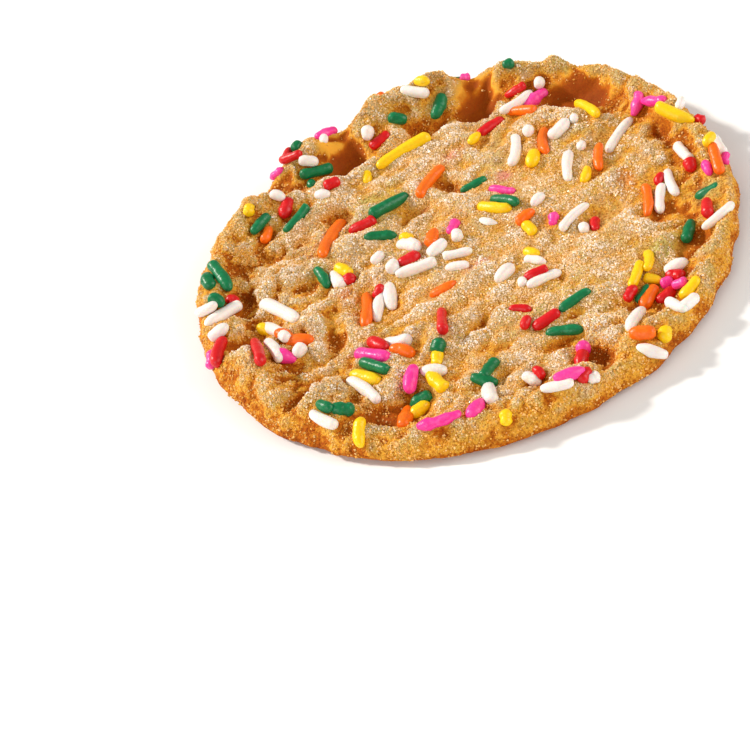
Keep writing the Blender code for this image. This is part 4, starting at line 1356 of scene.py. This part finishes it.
class GrainShape(Enum):
    """Closed shapes of a grain, as unit points and triangles that face outwards."""

    CUBE = "cube"
    SPLINTER = "splinter"
    SHARD = "shard"

    def solid(self) -> tuple[Floats, Ints]:
        """Points and triangles: a cube, an octahedron (splinter) or a tetrahedron (shard).

        Returns:
            Points about 1 across, and triangles.
        """
        half = 0.5
        tip = 0.6
        if self is GrainShape.SHARD:
            points = np.array([[1, 1, 1], [-1, -1, 1], [-1, 1, -1], [1, -1, -1]]) * half
            return points, np.array([[0, 2, 1], [0, 1, 3], [0, 3, 2], [1, 2, 3]])
        if self is GrainShape.CUBE:
            points = np.array([[x, y, z] for z in (-1, 1) for y in (-1, 1) for x in (-1, 1)]) * half
            quads = np.array(
                [[0, 2, 3, 1], [4, 5, 7, 6], [0, 1, 5, 4], [2, 6, 7, 3], [0, 4, 6, 2], [1, 3, 7, 5]]
            )
            return points, np.concatenate((quads[:, [0, 1, 2]], quads[:, [0, 2, 3]]))
        points = np.array([[1, 0, 0], [-1, 0, 0], [0, 1, 0], [0, -1, 0], [0, 0, 1], [0, 0, -1]]) * tip
        faces = [[0, 2, 4], [2, 1, 4], [1, 3, 4], [3, 0, 4], [2, 0, 5], [1, 2, 5], [3, 1, 5], [0, 3, 5]]
        return points, np.array(faces)


@dataclass(frozen=True)
class PatchRule:
    """How patchy grains lie: least + more * smooth_step(0.5 + contrast * noise)."""

    cell: float
    least: float
    more: float
    contrast: float

    def factor(self, points: Floats, seed: int) -> Floats:
        """Factor for the chance of a grain at each point."""
        noise = solid_noise(points, self.cell, seed)
        return self.least + self.more * smooth_step(0.5 + self.contrast * noise)


@dataclass(frozen=True)
class Scatter:
    """One kind of grain strewn over the dough: its shape, size in mm, count and where it lies.

    The pulls are how much likelier a grain is on sugary dough and towards the rim.
    """

    name: str
    slot: str
    finish: GrainFinish
    shape: GrainShape
    count: int
    size: tuple[float, float]
    sugar_pull: float
    rim_pull: float
    in_scoops: float
    stand: float
    ragged: float
    seed: int
    anywhere: float = 0.12
    stain_loss: float = 0.9
    rim_onset: Onset = (0.7, 0.3)
    wide_patches: PatchRule = PatchRule(cell=4.0, least=0.3, more=1.4, contrast=1.0)
    small_patches: PatchRule = PatchRule(cell=0.9, least=0.25, more=1.5, contrast=1.2)
    stretch: tuple[float, float] = (0.7, 1.25)

    def face_weights(self, skin: Skin, top_faces: int) -> Floats:
        """Chance of a grain on each triangle of the top: its area times the pulls there.

        Args:
            skin: The baked dough.
            top_faces: How many of its triangles belong to the top.

        Returns:
            Chances that add up to 1.
        """
        faces = skin.triangles[:top_faces]
        area = np.linalg.norm(skin.face_normals()[:top_faces], axis=1)
        sugar = skin.values["sugar"][faces].mean(axis=1)
        scoop = skin.values["scoop"][faces].mean(axis=1)
        stain = skin.values["stain"][faces, 3].mean(axis=1)
        middle = skin.points[faces].mean(axis=1)
        rim = ease(np.hypot(middle[:, 0], middle[:, 1]) / DoughForm.radius, self.rim_onset)
        patch = self.wide_patches.factor(middle, self.seed + 1)
        patch *= self.small_patches.factor(middle, self.seed + 2)
        weight = area * patch * (self.anywhere + self.sugar_pull * sugar) * (1.0 + self.rim_pull * rim)
        weight *= (1.0 - (1.0 - self.in_scoops) * scoop) * (1.0 - self.stain_loss * stain)
        weight *= skin.values["bare"][faces].all(axis=1)
        return weight / weight.sum()

    def build(self, skin: Skin, top_faces: int) -> Skin:
        """Strew the grains: each is turned at random and stretched, its corners moved a little.

        Args:
            skin: The baked dough.
            top_faces: How many of its triangles belong to the top.

        Returns:
            One skin with every grain.
        """
        rng = np.random.default_rng(self.seed)
        faces = skin.triangles[:top_faces]
        chosen = rng.choice(len(faces), self.count, p=self.face_weights(skin, top_faces))
        weights = rng.dirichlet((1.0, 1.0, 1.0), self.count)
        spots = np.einsum("ij,ijk->ik", weights, skin.points[faces[chosen]])
        normals = unit_rows(skin.face_normals()[chosen])
        size = rng.uniform(*self.size, self.count) * MM
        stretch = rng.uniform(*self.stretch, (self.count, 1, 3)) * size[:, None, None]
        corners, solid = self.shape.solid()
        ragged = rng.normal(0.0, self.ragged, (self.count, len(corners), 3))
        bodies = (corners + ragged) * stretch
        bodies = np.einsum("nij,nkj->nki", self.turns(rng), bodies)
        bodies += (spots + normals * (self.stand * size)[:, None])[:, None]
        triangles = solid + (np.arange(self.count) * len(corners))[:, None, None]
        # Each grain takes the browning_and_shade of the dough below it, painted shade included.
        browning_and_shade = np.einsum("ij,ij->i", weights, skin.values["browning_and_shade"][faces[chosen]])
        tone = rng.uniform(0.0, 1.0, self.count)
        values = {
            "tone": np.repeat(tone, len(corners)),
            "browning_and_shade": np.repeat(browning_and_shade, len(corners)),
        }
        return Skin(bodies.reshape(-1, 3), triangles.reshape(-1, 3), values)

    def turns(self, rng: np.random.Generator) -> Floats:
        """One random rotation for each grain, from a random unit quaternion.

        Args:
            rng: Source of the rotations.

        Returns:
            Rotation matrices, one for each grain.
        """
        w, x, y, z = unit_rows(rng.normal(size=(self.count, 4))).T
        rows = [
            [1 - 2 * (y * y + z * z), 2 * (x * y - w * z), 2 * (x * z + w * y)],
            [2 * (x * y + w * z), 1 - 2 * (x * x + z * z), 2 * (y * z - w * x)],
            [2 * (x * z - w * y), 2 * (y * z + w * x), 1 - 2 * (x * x + y * y)],
        ]
        return np.moveaxis(np.array(rows), -1, 0)


class NodeSheet:
    """Short ways to fill one node tree."""

    def __init__(self, tree: bpy.types.NodeTree) -> None:
        """Start on an empty tree."""
        self.tree = tree
        tree.nodes.clear()

    def add(self, kind: str, **settings: object) -> bpy.types.Node:
        """Add a node and set its properties.

        Args:
            kind: Its type without "ShaderNode".
            **settings: Its properties.

        Returns:
            The node.
        """
        node = self.tree.nodes.new(f"ShaderNode{kind}")
        for name, value in settings.items():
            setattr(node, name, value)
        return node

    def feed(self, node: bpy.types.Node, **sources: object) -> bpy.types.Node:
        """Link sockets to a node's inputs, or set them to plain values.

        Args:
            node: The node.
            **sources: Input names with _ for blanks, or i0, i1 ... for inputs by number.

        Returns:
            The node.
        """
        for name, source in sources.items():
            is_number = name[0] == "i" and name[1:].isdigit()
            socket = node.inputs[int(name[1:])] if is_number else node.inputs[name.replace("_", " ")]
            if isinstance(source, bpy.types.NodeSocket):
                self.tree.links.new(source, socket)
            else:
                socket.default_value = source
        return node

    def math(self, operation: str, *terms: object, clamp: bool = False) -> bpy.types.NodeSocket:
        """Add a Math node.

        Args:
            operation: What it works out.
            *terms: Its inputs, numbers or sockets.
            clamp: Whether the result is kept between 0 and 1.

        Returns:
            Its value.
        """
        node = self.add("Math", operation=operation, use_clamp=clamp)
        self.feed(node, **{f"i{number}": term for number, term in enumerate(terms)})
        return node.outputs[0]

    def span(self, value: object, low: float, high: float) -> bpy.types.NodeSocket:
        """Add a smooth step.

        Args:
            value: The socket that is read.
            low: Where the step starts.
            high: Where it is complete.

        Returns:
            0 below low and 1 above high.
        """
        node = self.add("MapRange", interpolation_type="SMOOTHSTEP")
        self.feed(node, Value=value, From_Min=low, From_Max=high)
        return node.outputs["Result"]

    def mix(
        self, amount: object, first: object, second: object, blend: str = "MIX"
    ) -> bpy.types.NodeSocket:
        """Mix two colours.

        Args:
            amount: Share of the second, 0 to 1.
            first: The colour below.
            second: The colour on top.
            blend: How the second is laid on the first.

        Returns:
            The mixed colour.
        """
        node = self.add("Mix", data_type="RGBA", blend_type=blend)
        self.feed(node, i0=amount, i6=first, i7=second)
        return node.outputs[2]

    def value(self, name: str) -> bpy.types.Node:
        """Read a named value of the piece's points."""
        return self.add("Attribute", attribute_type="GEOMETRY", attribute_name=name)

    def noise(self, vector: object, cell: float, detail: float = 2.0) -> bpy.types.NodeSocket:
        """Add noise.

        Args:
            vector: Where it is read.
            cell: Size of its lumps in mm.
            detail: How many finer layers it has.

        Returns:
            Values round 0.5.
        """
        node = self.add("TexNoise")
        self.feed(node, Vector=vector, Scale=1.0 / (cell * MM), Detail=detail)
        return node.outputs["Fac"]

    def ramp(self, value: object, stops: Stops) -> bpy.types.NodeSocket:
        """Add a colour ramp.

        Args:
            value: The socket that is read.
            stops: Places from 0 to 1 and their colours.

        Returns:
            The colour.
        """
        node = self.add("ValToRGB")
        elements = node.color_ramp.elements
        while len(elements) < len(stops):
            elements.new(1.0)
        for element, (position, colour) in zip(elements, stops):
            element.position = position
            element.color = (*colour, 1.0)
        self.feed(node, Fac=value)
        return node.outputs["Color"]


def new_group(name: str, inputs: dict[str, str], outputs: dict[str, str]) -> bpy.types.NodeTree:
    """Make a shader node group with named sockets.

    Args:
        name: Name of the group.
        inputs: Names and kinds (Vector, Float or Color) of its inputs.
        outputs: The same for its outputs.

    Returns:
        The group, with no nodes yet.
    """
    group = bpy.data.node_groups.new(name, "ShaderNodeTree")
    for sockets, side in ((inputs, "INPUT"), (outputs, "OUTPUT")):
        for label, kind in sockets.items():
            group.interface.new_socket(name=label, in_out=side, socket_type=f"NodeSocket{kind}")
    return group


@dataclass(frozen=True)
class SandyGrain:
    """Node group: a sandy surface, each cell of a Voronoi pattern a grain with its own tone."""

    name: str = "Sandy Grain"
    pale_edge: float = 0.06
    dark_limits: tuple[float, float] = (0.72, 0.95)
    dome_slope: float = 1.4
    least_height: float = 0.35

    def tree(self) -> bpy.types.NodeTree:
        """Give the group, made on first use."""
        known = bpy.data.node_groups.get(self.name)
        return known if known else self.make()

    def make(self) -> bpy.types.NodeTree:
        """Make the group: tone from the cell's colour, height from the distance to its middle.

        Returns:
            The group.
        """
        group = new_group(
            self.name,
            {"Vector": "Vector", "Grain Size": "Float", "Cover": "Float"},
            {"Tone": "Float", "Pale": "Float", "Dark": "Float", "Height": "Float"},
        )
        sheet = NodeSheet(group)
        given = group.nodes.new("NodeGroupInput")
        result = group.nodes.new("NodeGroupOutput")
        scale = sheet.math("DIVIDE", 1.0, given.outputs["Grain Size"])
        cells = sheet.feed(sheet.add("TexVoronoi"), Vector=given.outputs["Vector"], Scale=scale)
        parts = sheet.feed(sheet.add("SeparateColor"), Color=cells.outputs["Color"])
        tone, luck = parts.outputs["Red"], parts.outputs["Green"]
        bar = sheet.math("SUBTRACT", 1.0, given.outputs["Cover"])
        pale = sheet.span(sheet.math("SUBTRACT", luck, bar), 0.0, self.pale_edge)
        dark = sheet.span(parts.outputs["Blue"], *self.dark_limits)
        drop = sheet.math("MULTIPLY", cells.outputs["Distance"], self.dome_slope)
        dome = sheet.math("SUBTRACT", 1.0, drop)
        high = sheet.math("MULTIPLY", dome, sheet.math("ADD", self.least_height, tone))
        sheet.feed(result, Tone=tone, Pale=pale, Dark=dark, Height=high)
        return group


@dataclass(frozen=True)
class DoughFinish:
    """Sandy golden dough: pale where sugar lies, orange in hollows, smooth where it burnt, with painted
    shade in hollows and round sprinkles.

    Each of the hues has the size of its patches in mm, and each noise the size of its lumps
    in mm and how many finer layers it has.
    """

    name: str = "baked_dough"
    # Crust colours along browning_and_shade; the darker end is partly painted shade in hollows and round
    # sprinkles.
    stops: Stops = (
        (0.0, (0.68, 0.51, 0.24)),
        (0.2, (0.60, 0.40, 0.135)),
        (0.4, (0.71, 0.40, 0.07)),
        (0.6, (0.86, 0.41, 0.04)),
        (0.8, (0.54, 0.14, 0.003)),
        (1.0, (0.30, 0.05, 0.001)),
    )
    pale_stops: Stops = (
        (0.0, (0.93, 0.80, 0.57)),
        (0.4, (0.88, 0.64, 0.27)),
        (0.8, (0.86, 0.45, 0.06)),
    )
    hues: tuple[tuple[float, Colour], ...] = (
        (3.6, (0.66, 0.49, 0.12)),
        (2.8, (0.76, 0.44, 0.28)),
    )
    hue_limits: tuple[float, float] = (0.5, 0.72)
    hue_strength: float = 0.5
    pale_dough: tuple[float, float] = (0.3, 0.6)
    patch_noise: tuple[float, float] = (2.2, 3.0)
    fleck_noise: tuple[float, float] = (0.6, 2.0)
    crack_noise: tuple[float, float] = (0.45, 1.0)
    crack_limits: tuple[float, float] = (0.5, 0.68)
    noise_middle: float = 0.5
    shift: float = 0.35
    shift_in_scoops: float = 0.2
    cover_share: float = 0.5
    pale_strength: float = 0.75
    dark_tint: Colour = (0.58, 0.38, 0.16)
    dark_strength: float = 0.8
    grain_size: float = 0.22 * MM
    bump: float = 0.13 * MM
    bump_strength: float = 0.8
    bump_in_scoops: float = 0.35
    roughness: float = 0.72
    sugar_gloss: float = 0.3
    specular: float = 0.12
    glow: float = 0.2
    glow_depth: float = 1.2 * MM
    glow_reach: tuple[float, float, float] = (1.0, 0.5, 0.2)

    def make(self) -> bpy.types.Material:
        """Make the material: crust colour with its painted shade, grains of sugar over it, a bump and a
        slight glow.

        Returns:
            The material.
        """
        material = bpy.data.materials.new(self.name)
        material.use_nodes = True
        sheet = NodeSheet(material.node_tree)
        place = sheet.add("TexCoord").outputs["Object"]
        browning_and_shade = sheet.value("browning_and_shade").outputs["Fac"]
        sugar = sheet.value("sugar").outputs["Fac"]
        scoop = sheet.value("scoop").outputs["Fac"]
        stain = sheet.value("stain")
        patches = sheet.math("SUBTRACT", sheet.noise(place, *self.patch_noise), self.noise_middle)
        flecks = sheet.math("SUBTRACT", sheet.noise(place, *self.fleck_noise), self.noise_middle)
        cracks = sheet.span(sheet.noise(place, *self.crack_noise), *self.crack_limits)
        outside = sheet.math("SUBTRACT", 1.0, scoop)
        shift = sheet.math("MULTIPLY", sheet.math("ADD", patches, flecks), self.shift)
        more_outside = sheet.math("MULTIPLY", outside, 1.0 - self.shift_in_scoops)
        shift = sheet.math("MULTIPLY", shift, sheet.math("ADD", self.shift_in_scoops, more_outside))
        shifted = sheet.math("ADD", browning_and_shade, shift)
        crust = sheet.ramp(shifted, self.stops)
        unbrowned = sheet.math("SUBTRACT", 1.0, sheet.span(browning_and_shade, *self.pale_dough))
        for cell, hue in self.hues:
            spots = sheet.span(sheet.noise(place, cell, 1.0), *self.hue_limits)
            amount = sheet.math("MULTIPLY", sheet.math("MULTIPLY", spots, unbrowned), self.hue_strength)
            crust = sheet.mix(amount, crust, (*hue, 1.0))
        crust = sheet.mix(stain.outputs["Alpha"], crust, stain.outputs["Color"])
        grain = sheet.add("Group", node_tree=SandyGrain().tree())
        cover = sheet.math("MULTIPLY", sugar, self.cover_share)
        sheet.feed(grain, Vector=place, Grain_Size=self.grain_size, Cover=cover)
        clear = sheet.math("SUBTRACT", 1.0, stain.outputs["Alpha"])
        pale = sheet.math("MULTIPLY", grain.outputs["Pale"], clear)
        pale = sheet.math("MULTIPLY", pale, self.pale_strength)
        dark = sheet.math("MAXIMUM", grain.outputs["Dark"], cracks)
        dark = sheet.math("MULTIPLY", sheet.math("MULTIPLY", dark, outside), self.dark_strength)
        colour = sheet.mix(dark, crust, (*self.dark_tint, 1.0), "MULTIPLY")
        colour = sheet.mix(pale, colour, sheet.ramp(shifted, self.pale_stops))
        relief = sheet.math("ADD", self.bump_in_scoops, outside)
        height = sheet.math("MULTIPLY", grain.outputs["Height"], relief)
        bump = sheet.add("Bump")
        sheet.feed(bump, Height=height, Distance=self.bump, Strength=self.bump_strength)
        gloss = sheet.math("MULTIPLY", pale, self.sugar_gloss)
        rough = sheet.math("SUBTRACT", self.roughness, gloss)
        shader = sheet.add("BsdfPrincipled")
        sheet.feed(
            shader,
            Base_Color=colour,
            Roughness=rough,
            Normal=bump.outputs["Normal"],
            Specular_IOR_Level=self.specular,
            Subsurface_Weight=self.glow,
            Subsurface_Scale=self.glow_depth,
            Subsurface_Radius=self.glow_reach,
        )
        sheet.feed(sheet.add("OutputMaterial"), Surface=shader.outputs[0])
        return material


@dataclass(frozen=True)
class GrainFinish:
    """Sugar or crumbs: each grain has a tone of its own, warmer and darker where the dough below is browner
    or painted with shade.
    """

    name: str
    stops: Stops
    brown_and_shade: Colour
    brown_share: float
    roughness: float
    specular: float = 0.5
    brown_limits: tuple[float, float] = (0.1, 0.65)
    haze_cell: float = 0.12
    haze_share: float = 0.2

    def make(self) -> bpy.types.Material:
        """Make the material: own tone mixed towards a brown where the dough below is browned or painted with
        shade, and a hazy surface.

        Returns:
            The material.
        """
        material = bpy.data.materials.new(self.name)
        material.use_nodes = True
        sheet = NodeSheet(material.node_tree)
        place = sheet.add("TexCoord").outputs["Object"]
        tone = sheet.ramp(sheet.value("tone").outputs["Fac"], self.stops)
        browning_and_shade = sheet.span(sheet.value("browning_and_shade").outputs["Fac"], *self.brown_limits)
        share = sheet.math("MULTIPLY", browning_and_shade, self.brown_share)
        colour = sheet.mix(share, tone, (*self.brown_and_shade, 1.0))
        haze = sheet.math("MULTIPLY", sheet.noise(place, self.haze_cell, 1.0), self.haze_share)
        rough = sheet.math("ADD", self.roughness - self.haze_share / 2, haze)
        shader = sheet.add("BsdfPrincipled")
        sheet.feed(shader, Base_Color=colour, Roughness=rough, Specular_IOR_Level=self.specular)
        sheet.feed(sheet.add("OutputMaterial"), Surface=shader.outputs[0])
        return material


@dataclass(frozen=True)
class CandySkin:
    """Node group: a candy coating with paler worn spots, faint dents and its own sheen."""

    name: str = "Candy Skin"
    cloud_cell: float = 0.9
    fine_cell: float = 0.3
    tone_share: float = 0.4
    worn_limits: tuple[float, float] = (0.45, 0.8)
    least_roughness: float = 0.24
    more_roughness: float = 0.22
    fine_share: float = 0.3

    def tree(self) -> bpy.types.NodeTree:
        """Give the group, made on first use."""
        known = bpy.data.node_groups.get(self.name)
        return known if known else self.make()

    def make(self) -> bpy.types.NodeTree:
        """Make the group from two layers of noise on the piece's own coordinates.

        Returns:
            The group.
        """
        group = new_group(
            self.name,
            {"Vector": "Vector", "Tone": "Float", "Full": "Color", "Worn": "Color", "Wear": "Float"},
            {"Colour": "Color", "Roughness": "Float", "Height": "Float"},
        )
        sheet = NodeSheet(group)
        given = group.nodes.new("NodeGroupInput")
        result = group.nodes.new("NodeGroupOutput")
        vector = given.outputs["Vector"]
        cloud = sheet.noise(vector, self.cloud_cell)
        fine = sheet.noise(vector, self.fine_cell)
        own = sheet.math("MULTIPLY", given.outputs["Tone"], self.tone_share)
        worn = sheet.math("ADD", sheet.span(cloud, *self.worn_limits), own)
        worn = sheet.math("MULTIPLY", worn, given.outputs["Wear"], clamp=True)
        colour = sheet.mix(worn, given.outputs["Full"], given.outputs["Worn"])
        uneven = sheet.math("MULTIPLY", fine, self.more_roughness)
        rough = sheet.math("ADD", self.least_roughness, uneven)
        height = sheet.math("ADD", cloud, sheet.math("MULTIPLY", fine, self.fine_share))
        sheet.feed(result, Colour=colour, Roughness=rough, Height=height)
        return group


@dataclass(frozen=True)
class CandyFinish:
    """Satin sugar coating of one colour of sprinkle."""

    colour: SprinkleColour
    full: Colour
    worn: Colour
    wear: float = 0.5
    glow: float = 0.15
    glow_depth: float = 0.5 * MM
    bump: float = 0.2 * MM
    bump_strength: float = 0.6
    specular: float = 0.35

    def make(self) -> bpy.types.Material:
        """Make the material round the candy skin's node group.

        Returns:
            The material.
        """
        material = bpy.data.materials.new(f"candy_{self.colour.name.lower()}")
        material.use_nodes = True
        sheet = NodeSheet(material.node_tree)
        skin = sheet.add("Group", node_tree=CandySkin().tree())
        sheet.feed(
            skin,
            Vector=sheet.add("TexCoord").outputs["Object"],
            Tone=sheet.value("tone").outputs["Fac"],
            Full=(*self.full, 1.0),
            Worn=(*self.worn, 1.0),
            Wear=self.wear,
        )
        bump = sheet.add("Bump")
        sheet.feed(bump, Height=skin.outputs["Height"], Distance=self.bump, Strength=self.bump_strength)
        shader = sheet.add("BsdfPrincipled")
        sheet.feed(
            shader,
            Base_Color=skin.outputs["Colour"],
            Roughness=skin.outputs["Roughness"],
            Normal=bump.outputs["Normal"],
            Subsurface_Weight=self.glow,
            Subsurface_Scale=self.glow_depth,
            Specular_IOR_Level=self.specular,
        )
        sheet.feed(sheet.add("OutputMaterial"), Surface=shader.outputs[0])
        return material


CANDY_FINISHES = (
    CandyFinish(SprinkleColour.WHITE, (0.86, 0.81, 0.77), (0.80, 0.70, 0.62), glow=0.3),
    CandyFinish(SprinkleColour.RED, (0.62, 0.002, 0.006), (0.72, 0.02, 0.02)),
    CandyFinish(SprinkleColour.ORANGE, (0.88, 0.135, 0.001), (0.92, 0.22, 0.01)),
    CandyFinish(SprinkleColour.YELLOW, (0.93, 0.58, 0.0), (0.93, 0.66, 0.02)),
    CandyFinish(SprinkleColour.GREEN, (0.0, 0.15, 0.045), (0.01, 0.27, 0.11)),
    CandyFinish(SprinkleColour.PINK, (0.90, 0.03, 0.30), (0.95, 0.16, 0.48)),
)

SCATTERS = (
    Scatter(
        name="sugar_crystals",
        slot="sugar",
        finish=GrainFinish(
            name="clear_sugar",
            stops=((0.0, (0.98, 0.92, 0.88)), (0.6, (0.95, 0.80, 0.64)), (1.0, (0.80, 0.54, 0.30))),
            brown_and_shade=(0.90, 0.56, 0.18),
            brown_share=0.9,
            roughness=0.3,
        ),
        shape=GrainShape.CUBE,
        count=15000,
        size=(0.11, 0.25),
        sugar_pull=5.0,
        rim_pull=-0.85,
        in_scoops=0.05,
        stand=0.2,
        ragged=0.07,
        seed=81,
    ),
    Scatter(
        name="fine_sugar",
        slot="sugar",
        finish=GrainFinish(
            name="fine_sugar",
            stops=((0.0, (0.95, 0.83, 0.70)), (0.5, (0.88, 0.61, 0.27)), (1.0, (0.64, 0.36, 0.09))),
            brown_and_shade=(0.86, 0.50, 0.12),
            brown_share=0.92,
            roughness=0.4,
        ),
        shape=GrainShape.SPLINTER,
        count=22000,
        size=(0.12, 0.24),
        sugar_pull=3.0,
        rim_pull=-0.7,
        in_scoops=0.06,
        stand=0.2,
        ragged=0.1,
        seed=82,
    ),
    Scatter(
        name="sugar_dust",
        slot="sugar",
        finish=GrainFinish(
            name="sugar_dust",
            stops=((0.0, (0.90, 0.77, 0.62)), (0.5, (0.78, 0.54, 0.26)), (1.0, (0.52, 0.30, 0.08))),
            brown_and_shade=(0.86, 0.48, 0.10),
            brown_share=0.92,
            roughness=0.45,
        ),
        shape=GrainShape.SHARD,
        count=44000,
        size=(0.10, 0.20),
        sugar_pull=3.0,
        rim_pull=-0.5,
        in_scoops=0.1,
        stand=0.2,
        ragged=0.1,
        seed=84,
    ),
    Scatter(
        name="golden_crumbs",
        slot="dough",
        finish=GrainFinish(
            name="golden_crumb",
            stops=((0.0, (0.96, 0.72, 0.36)), (0.5, (0.88, 0.50, 0.12)), (1.0, (0.64, 0.29, 0.04))),
            brown_and_shade=(0.84, 0.38, 0.03),
            brown_share=0.35,
            roughness=0.6,
            specular=0.3,
        ),
        shape=GrainShape.CUBE,
        count=14500,
        size=(0.11, 0.27),
        sugar_pull=0.3,
        rim_pull=1.6,
        in_scoops=0.05,
        stand=0.12,
        ragged=0.16,
        seed=83,
    ),
)


@dataclass(frozen=True)
class Lamp:
    """A far lamp: where it stands, in degrees, its energy and colour, and its disc in degrees."""

    name: str
    azimuth: float
    elevation: float
    energy: float
    angle: float
    colour: Colour

    def hang(self) -> None:
        """Hang the lamp so that it shines on the middle."""
        light = bpy.data.lights.new(self.name, "SUN")
        light.energy = self.energy
        light.color = self.colour
        light.angle = math.radians(self.angle)
        hung = bpy.data.objects.new(self.name, light)
        turn, rise = math.radians(self.azimuth), math.radians(self.elevation)
        towards = Vector((math.cos(rise) * math.cos(turn), math.cos(rise) * math.sin(turn), math.sin(rise)))
        hung.rotation_euler = towards.to_track_quat("Z", "Y").to_euler()
        bpy.context.scene.collection.objects.link(hung)


@dataclass
class Studio:
    """Floor, lamps and camera."""

    lens: float = 100.0
    sensor: float = 36.0
    elevation: float = 40.5
    roll: float = 21.896
    distance: float = 328.54 * MM
    aim: tuple[float, float, float] = (-21.145 * MM, -15.272 * MM, -1.7 * MM)
    nearest: float = 0.01
    floor_size: float = 3.0
    floor_colour: Colour = (0.93, 0.93, 0.93)
    floor_roughness: float = 0.9
    world_colour: Colour = (1.0, 0.985, 0.965)
    world_strength: float = 0.38
    lamps: tuple[Lamp, ...] = (
        Lamp("key_lamp", azimuth=142.0, elevation=35.0, energy=3.35, angle=8.0, colour=(1.0, 0.95, 0.87)),
        Lamp("right_lamp", azimuth=-20.0, elevation=24.0, energy=1.9, angle=40.0, colour=(1.0, 0.97, 0.92)),
        Lamp("left_lamp", azimuth=-140.0, elevation=26.0, energy=1.1, angle=40.0, colour=(1.0, 0.97, 0.92)),
    )

    def build(self) -> None:
        """Put up the floor, the lamps, the world and the camera."""
        self.add_floor()
        for lamp in self.lamps:
            lamp.hang()
        self.add_world()
        self.add_camera()

    def add_floor(self) -> None:
        """Lay a wide pale floor at z = 0."""
        half = self.floor_size / 2
        mesh = bpy.data.meshes.new("floor")
        corners = [(-half, -half, 0.0), (half, -half, 0.0), (half, half, 0.0), (-half, half, 0.0)]
        mesh.from_pydata(corners, [], [(0, 1, 2, 3)])
        material = bpy.data.materials.new("pale_floor")
        material.use_nodes = True
        shader = material.node_tree.nodes["Principled BSDF"]
        shader.inputs["Base Color"].default_value = (*self.floor_colour, 1.0)
        shader.inputs["Roughness"].default_value = self.floor_roughness
        mesh.materials.append(material)
        floor = bpy.data.objects.new("floor", mesh)
        bpy.context.scene.collection.objects.link(floor)

    def add_world(self) -> None:
        """Light everything softly from a nearly white world."""
        world = bpy.data.worlds.new("soft_studio")
        world.use_nodes = True
        background = world.node_tree.nodes["Background"]
        background.inputs["Color"].default_value = (*self.world_colour, 1.0)
        background.inputs["Strength"].default_value = self.world_strength
        bpy.context.scene.world = world

    def add_camera(self) -> None:
        """Set up the camera: it looks along +Y and down, and is rolled to the right."""
        tilt, roll = math.radians(self.elevation), math.radians(self.roll)
        forward = Vector((0.0, math.cos(tilt), -math.sin(tilt)))
        level = Vector((1.0, 0.0, 0.0))
        above = level.cross(forward)
        right = level * math.cos(roll) - above * math.sin(roll)
        up = level * math.sin(roll) + above * math.cos(roll)
        place = Vector(self.aim) - forward * self.distance
        lens = bpy.data.cameras.new("camera")
        lens.lens = self.lens
        lens.sensor_width = self.sensor
        lens.clip_start = self.nearest
        camera = bpy.data.objects.new("camera", lens)
        turn = Matrix((right, up, -forward)).transposed().to_4x4()
        camera.matrix_world = Matrix.Translation(place) @ turn
        bpy.context.scene.collection.objects.link(camera)
        bpy.context.scene.camera = camera


@dataclass
class ThinCrispCookie:
    """The whole cookie: dough, six colours of sprinkle, sugar and crumbs."""

    form: DoughForm = field(default_factory=DoughForm)
    cover_depth: float = 0.12 * MM

    def build(self) -> None:
        """Make each piece, dress it and let it ride on the cookie."""
        sprinkles = SprinklePlan(self.form).lies()
        dough = BakedDough(self.form, sprinkles)
        skin = dough.build()
        self.mark_bare(skin, sprinkles)
        fit_piece(skin.make_piece("cookie_dough", DoughFinish().make(), True), "dough")
        for finish in CANDY_FINISHES:
            lies = [lie for lie in sprinkles if lie.colour is finish.colour]
            batch = SprinkleBatch(finish.colour, lies).build()
            piece = batch.make_piece(finish.colour.piece_name, finish.make(), True)
            fit_piece(piece, finish.colour.slot_name)
        for scatter in SCATTERS:
            grains = scatter.build(skin, dough.top_faces)
            fit_piece(grains.make_piece(scatter.name, scatter.finish.make(), False), scatter.slot)

    def mark_bare(self, skin: Skin, sprinkles: list[SprinkleLie]) -> None:
        """Mark the points of the dough that no sprinkle covers: 1 if bare, else 0.

        Args:
            skin: The baked dough, which gets the value "bare".
            sprinkles: All sprinkles.
        """
        bare = np.ones(len(skin.points))
        for sprinkle in sprinkles:
            near = sprinkle.near(skin.points)
            bare[near] *= sprinkle.gap(skin.points[near]) > -self.cover_depth
        skin.values["bare"] = bare


def main() -> None:
    """Build the cookie and its studio."""
    logging.basicConfig(level=logging.INFO, format="%(name)s: %(message)s")
    bpy.context.scene.view_settings.view_transform = "Standard"
    ThinCrispCookie().build()
    Studio().build()


if __name__ == "__main__":
    main()
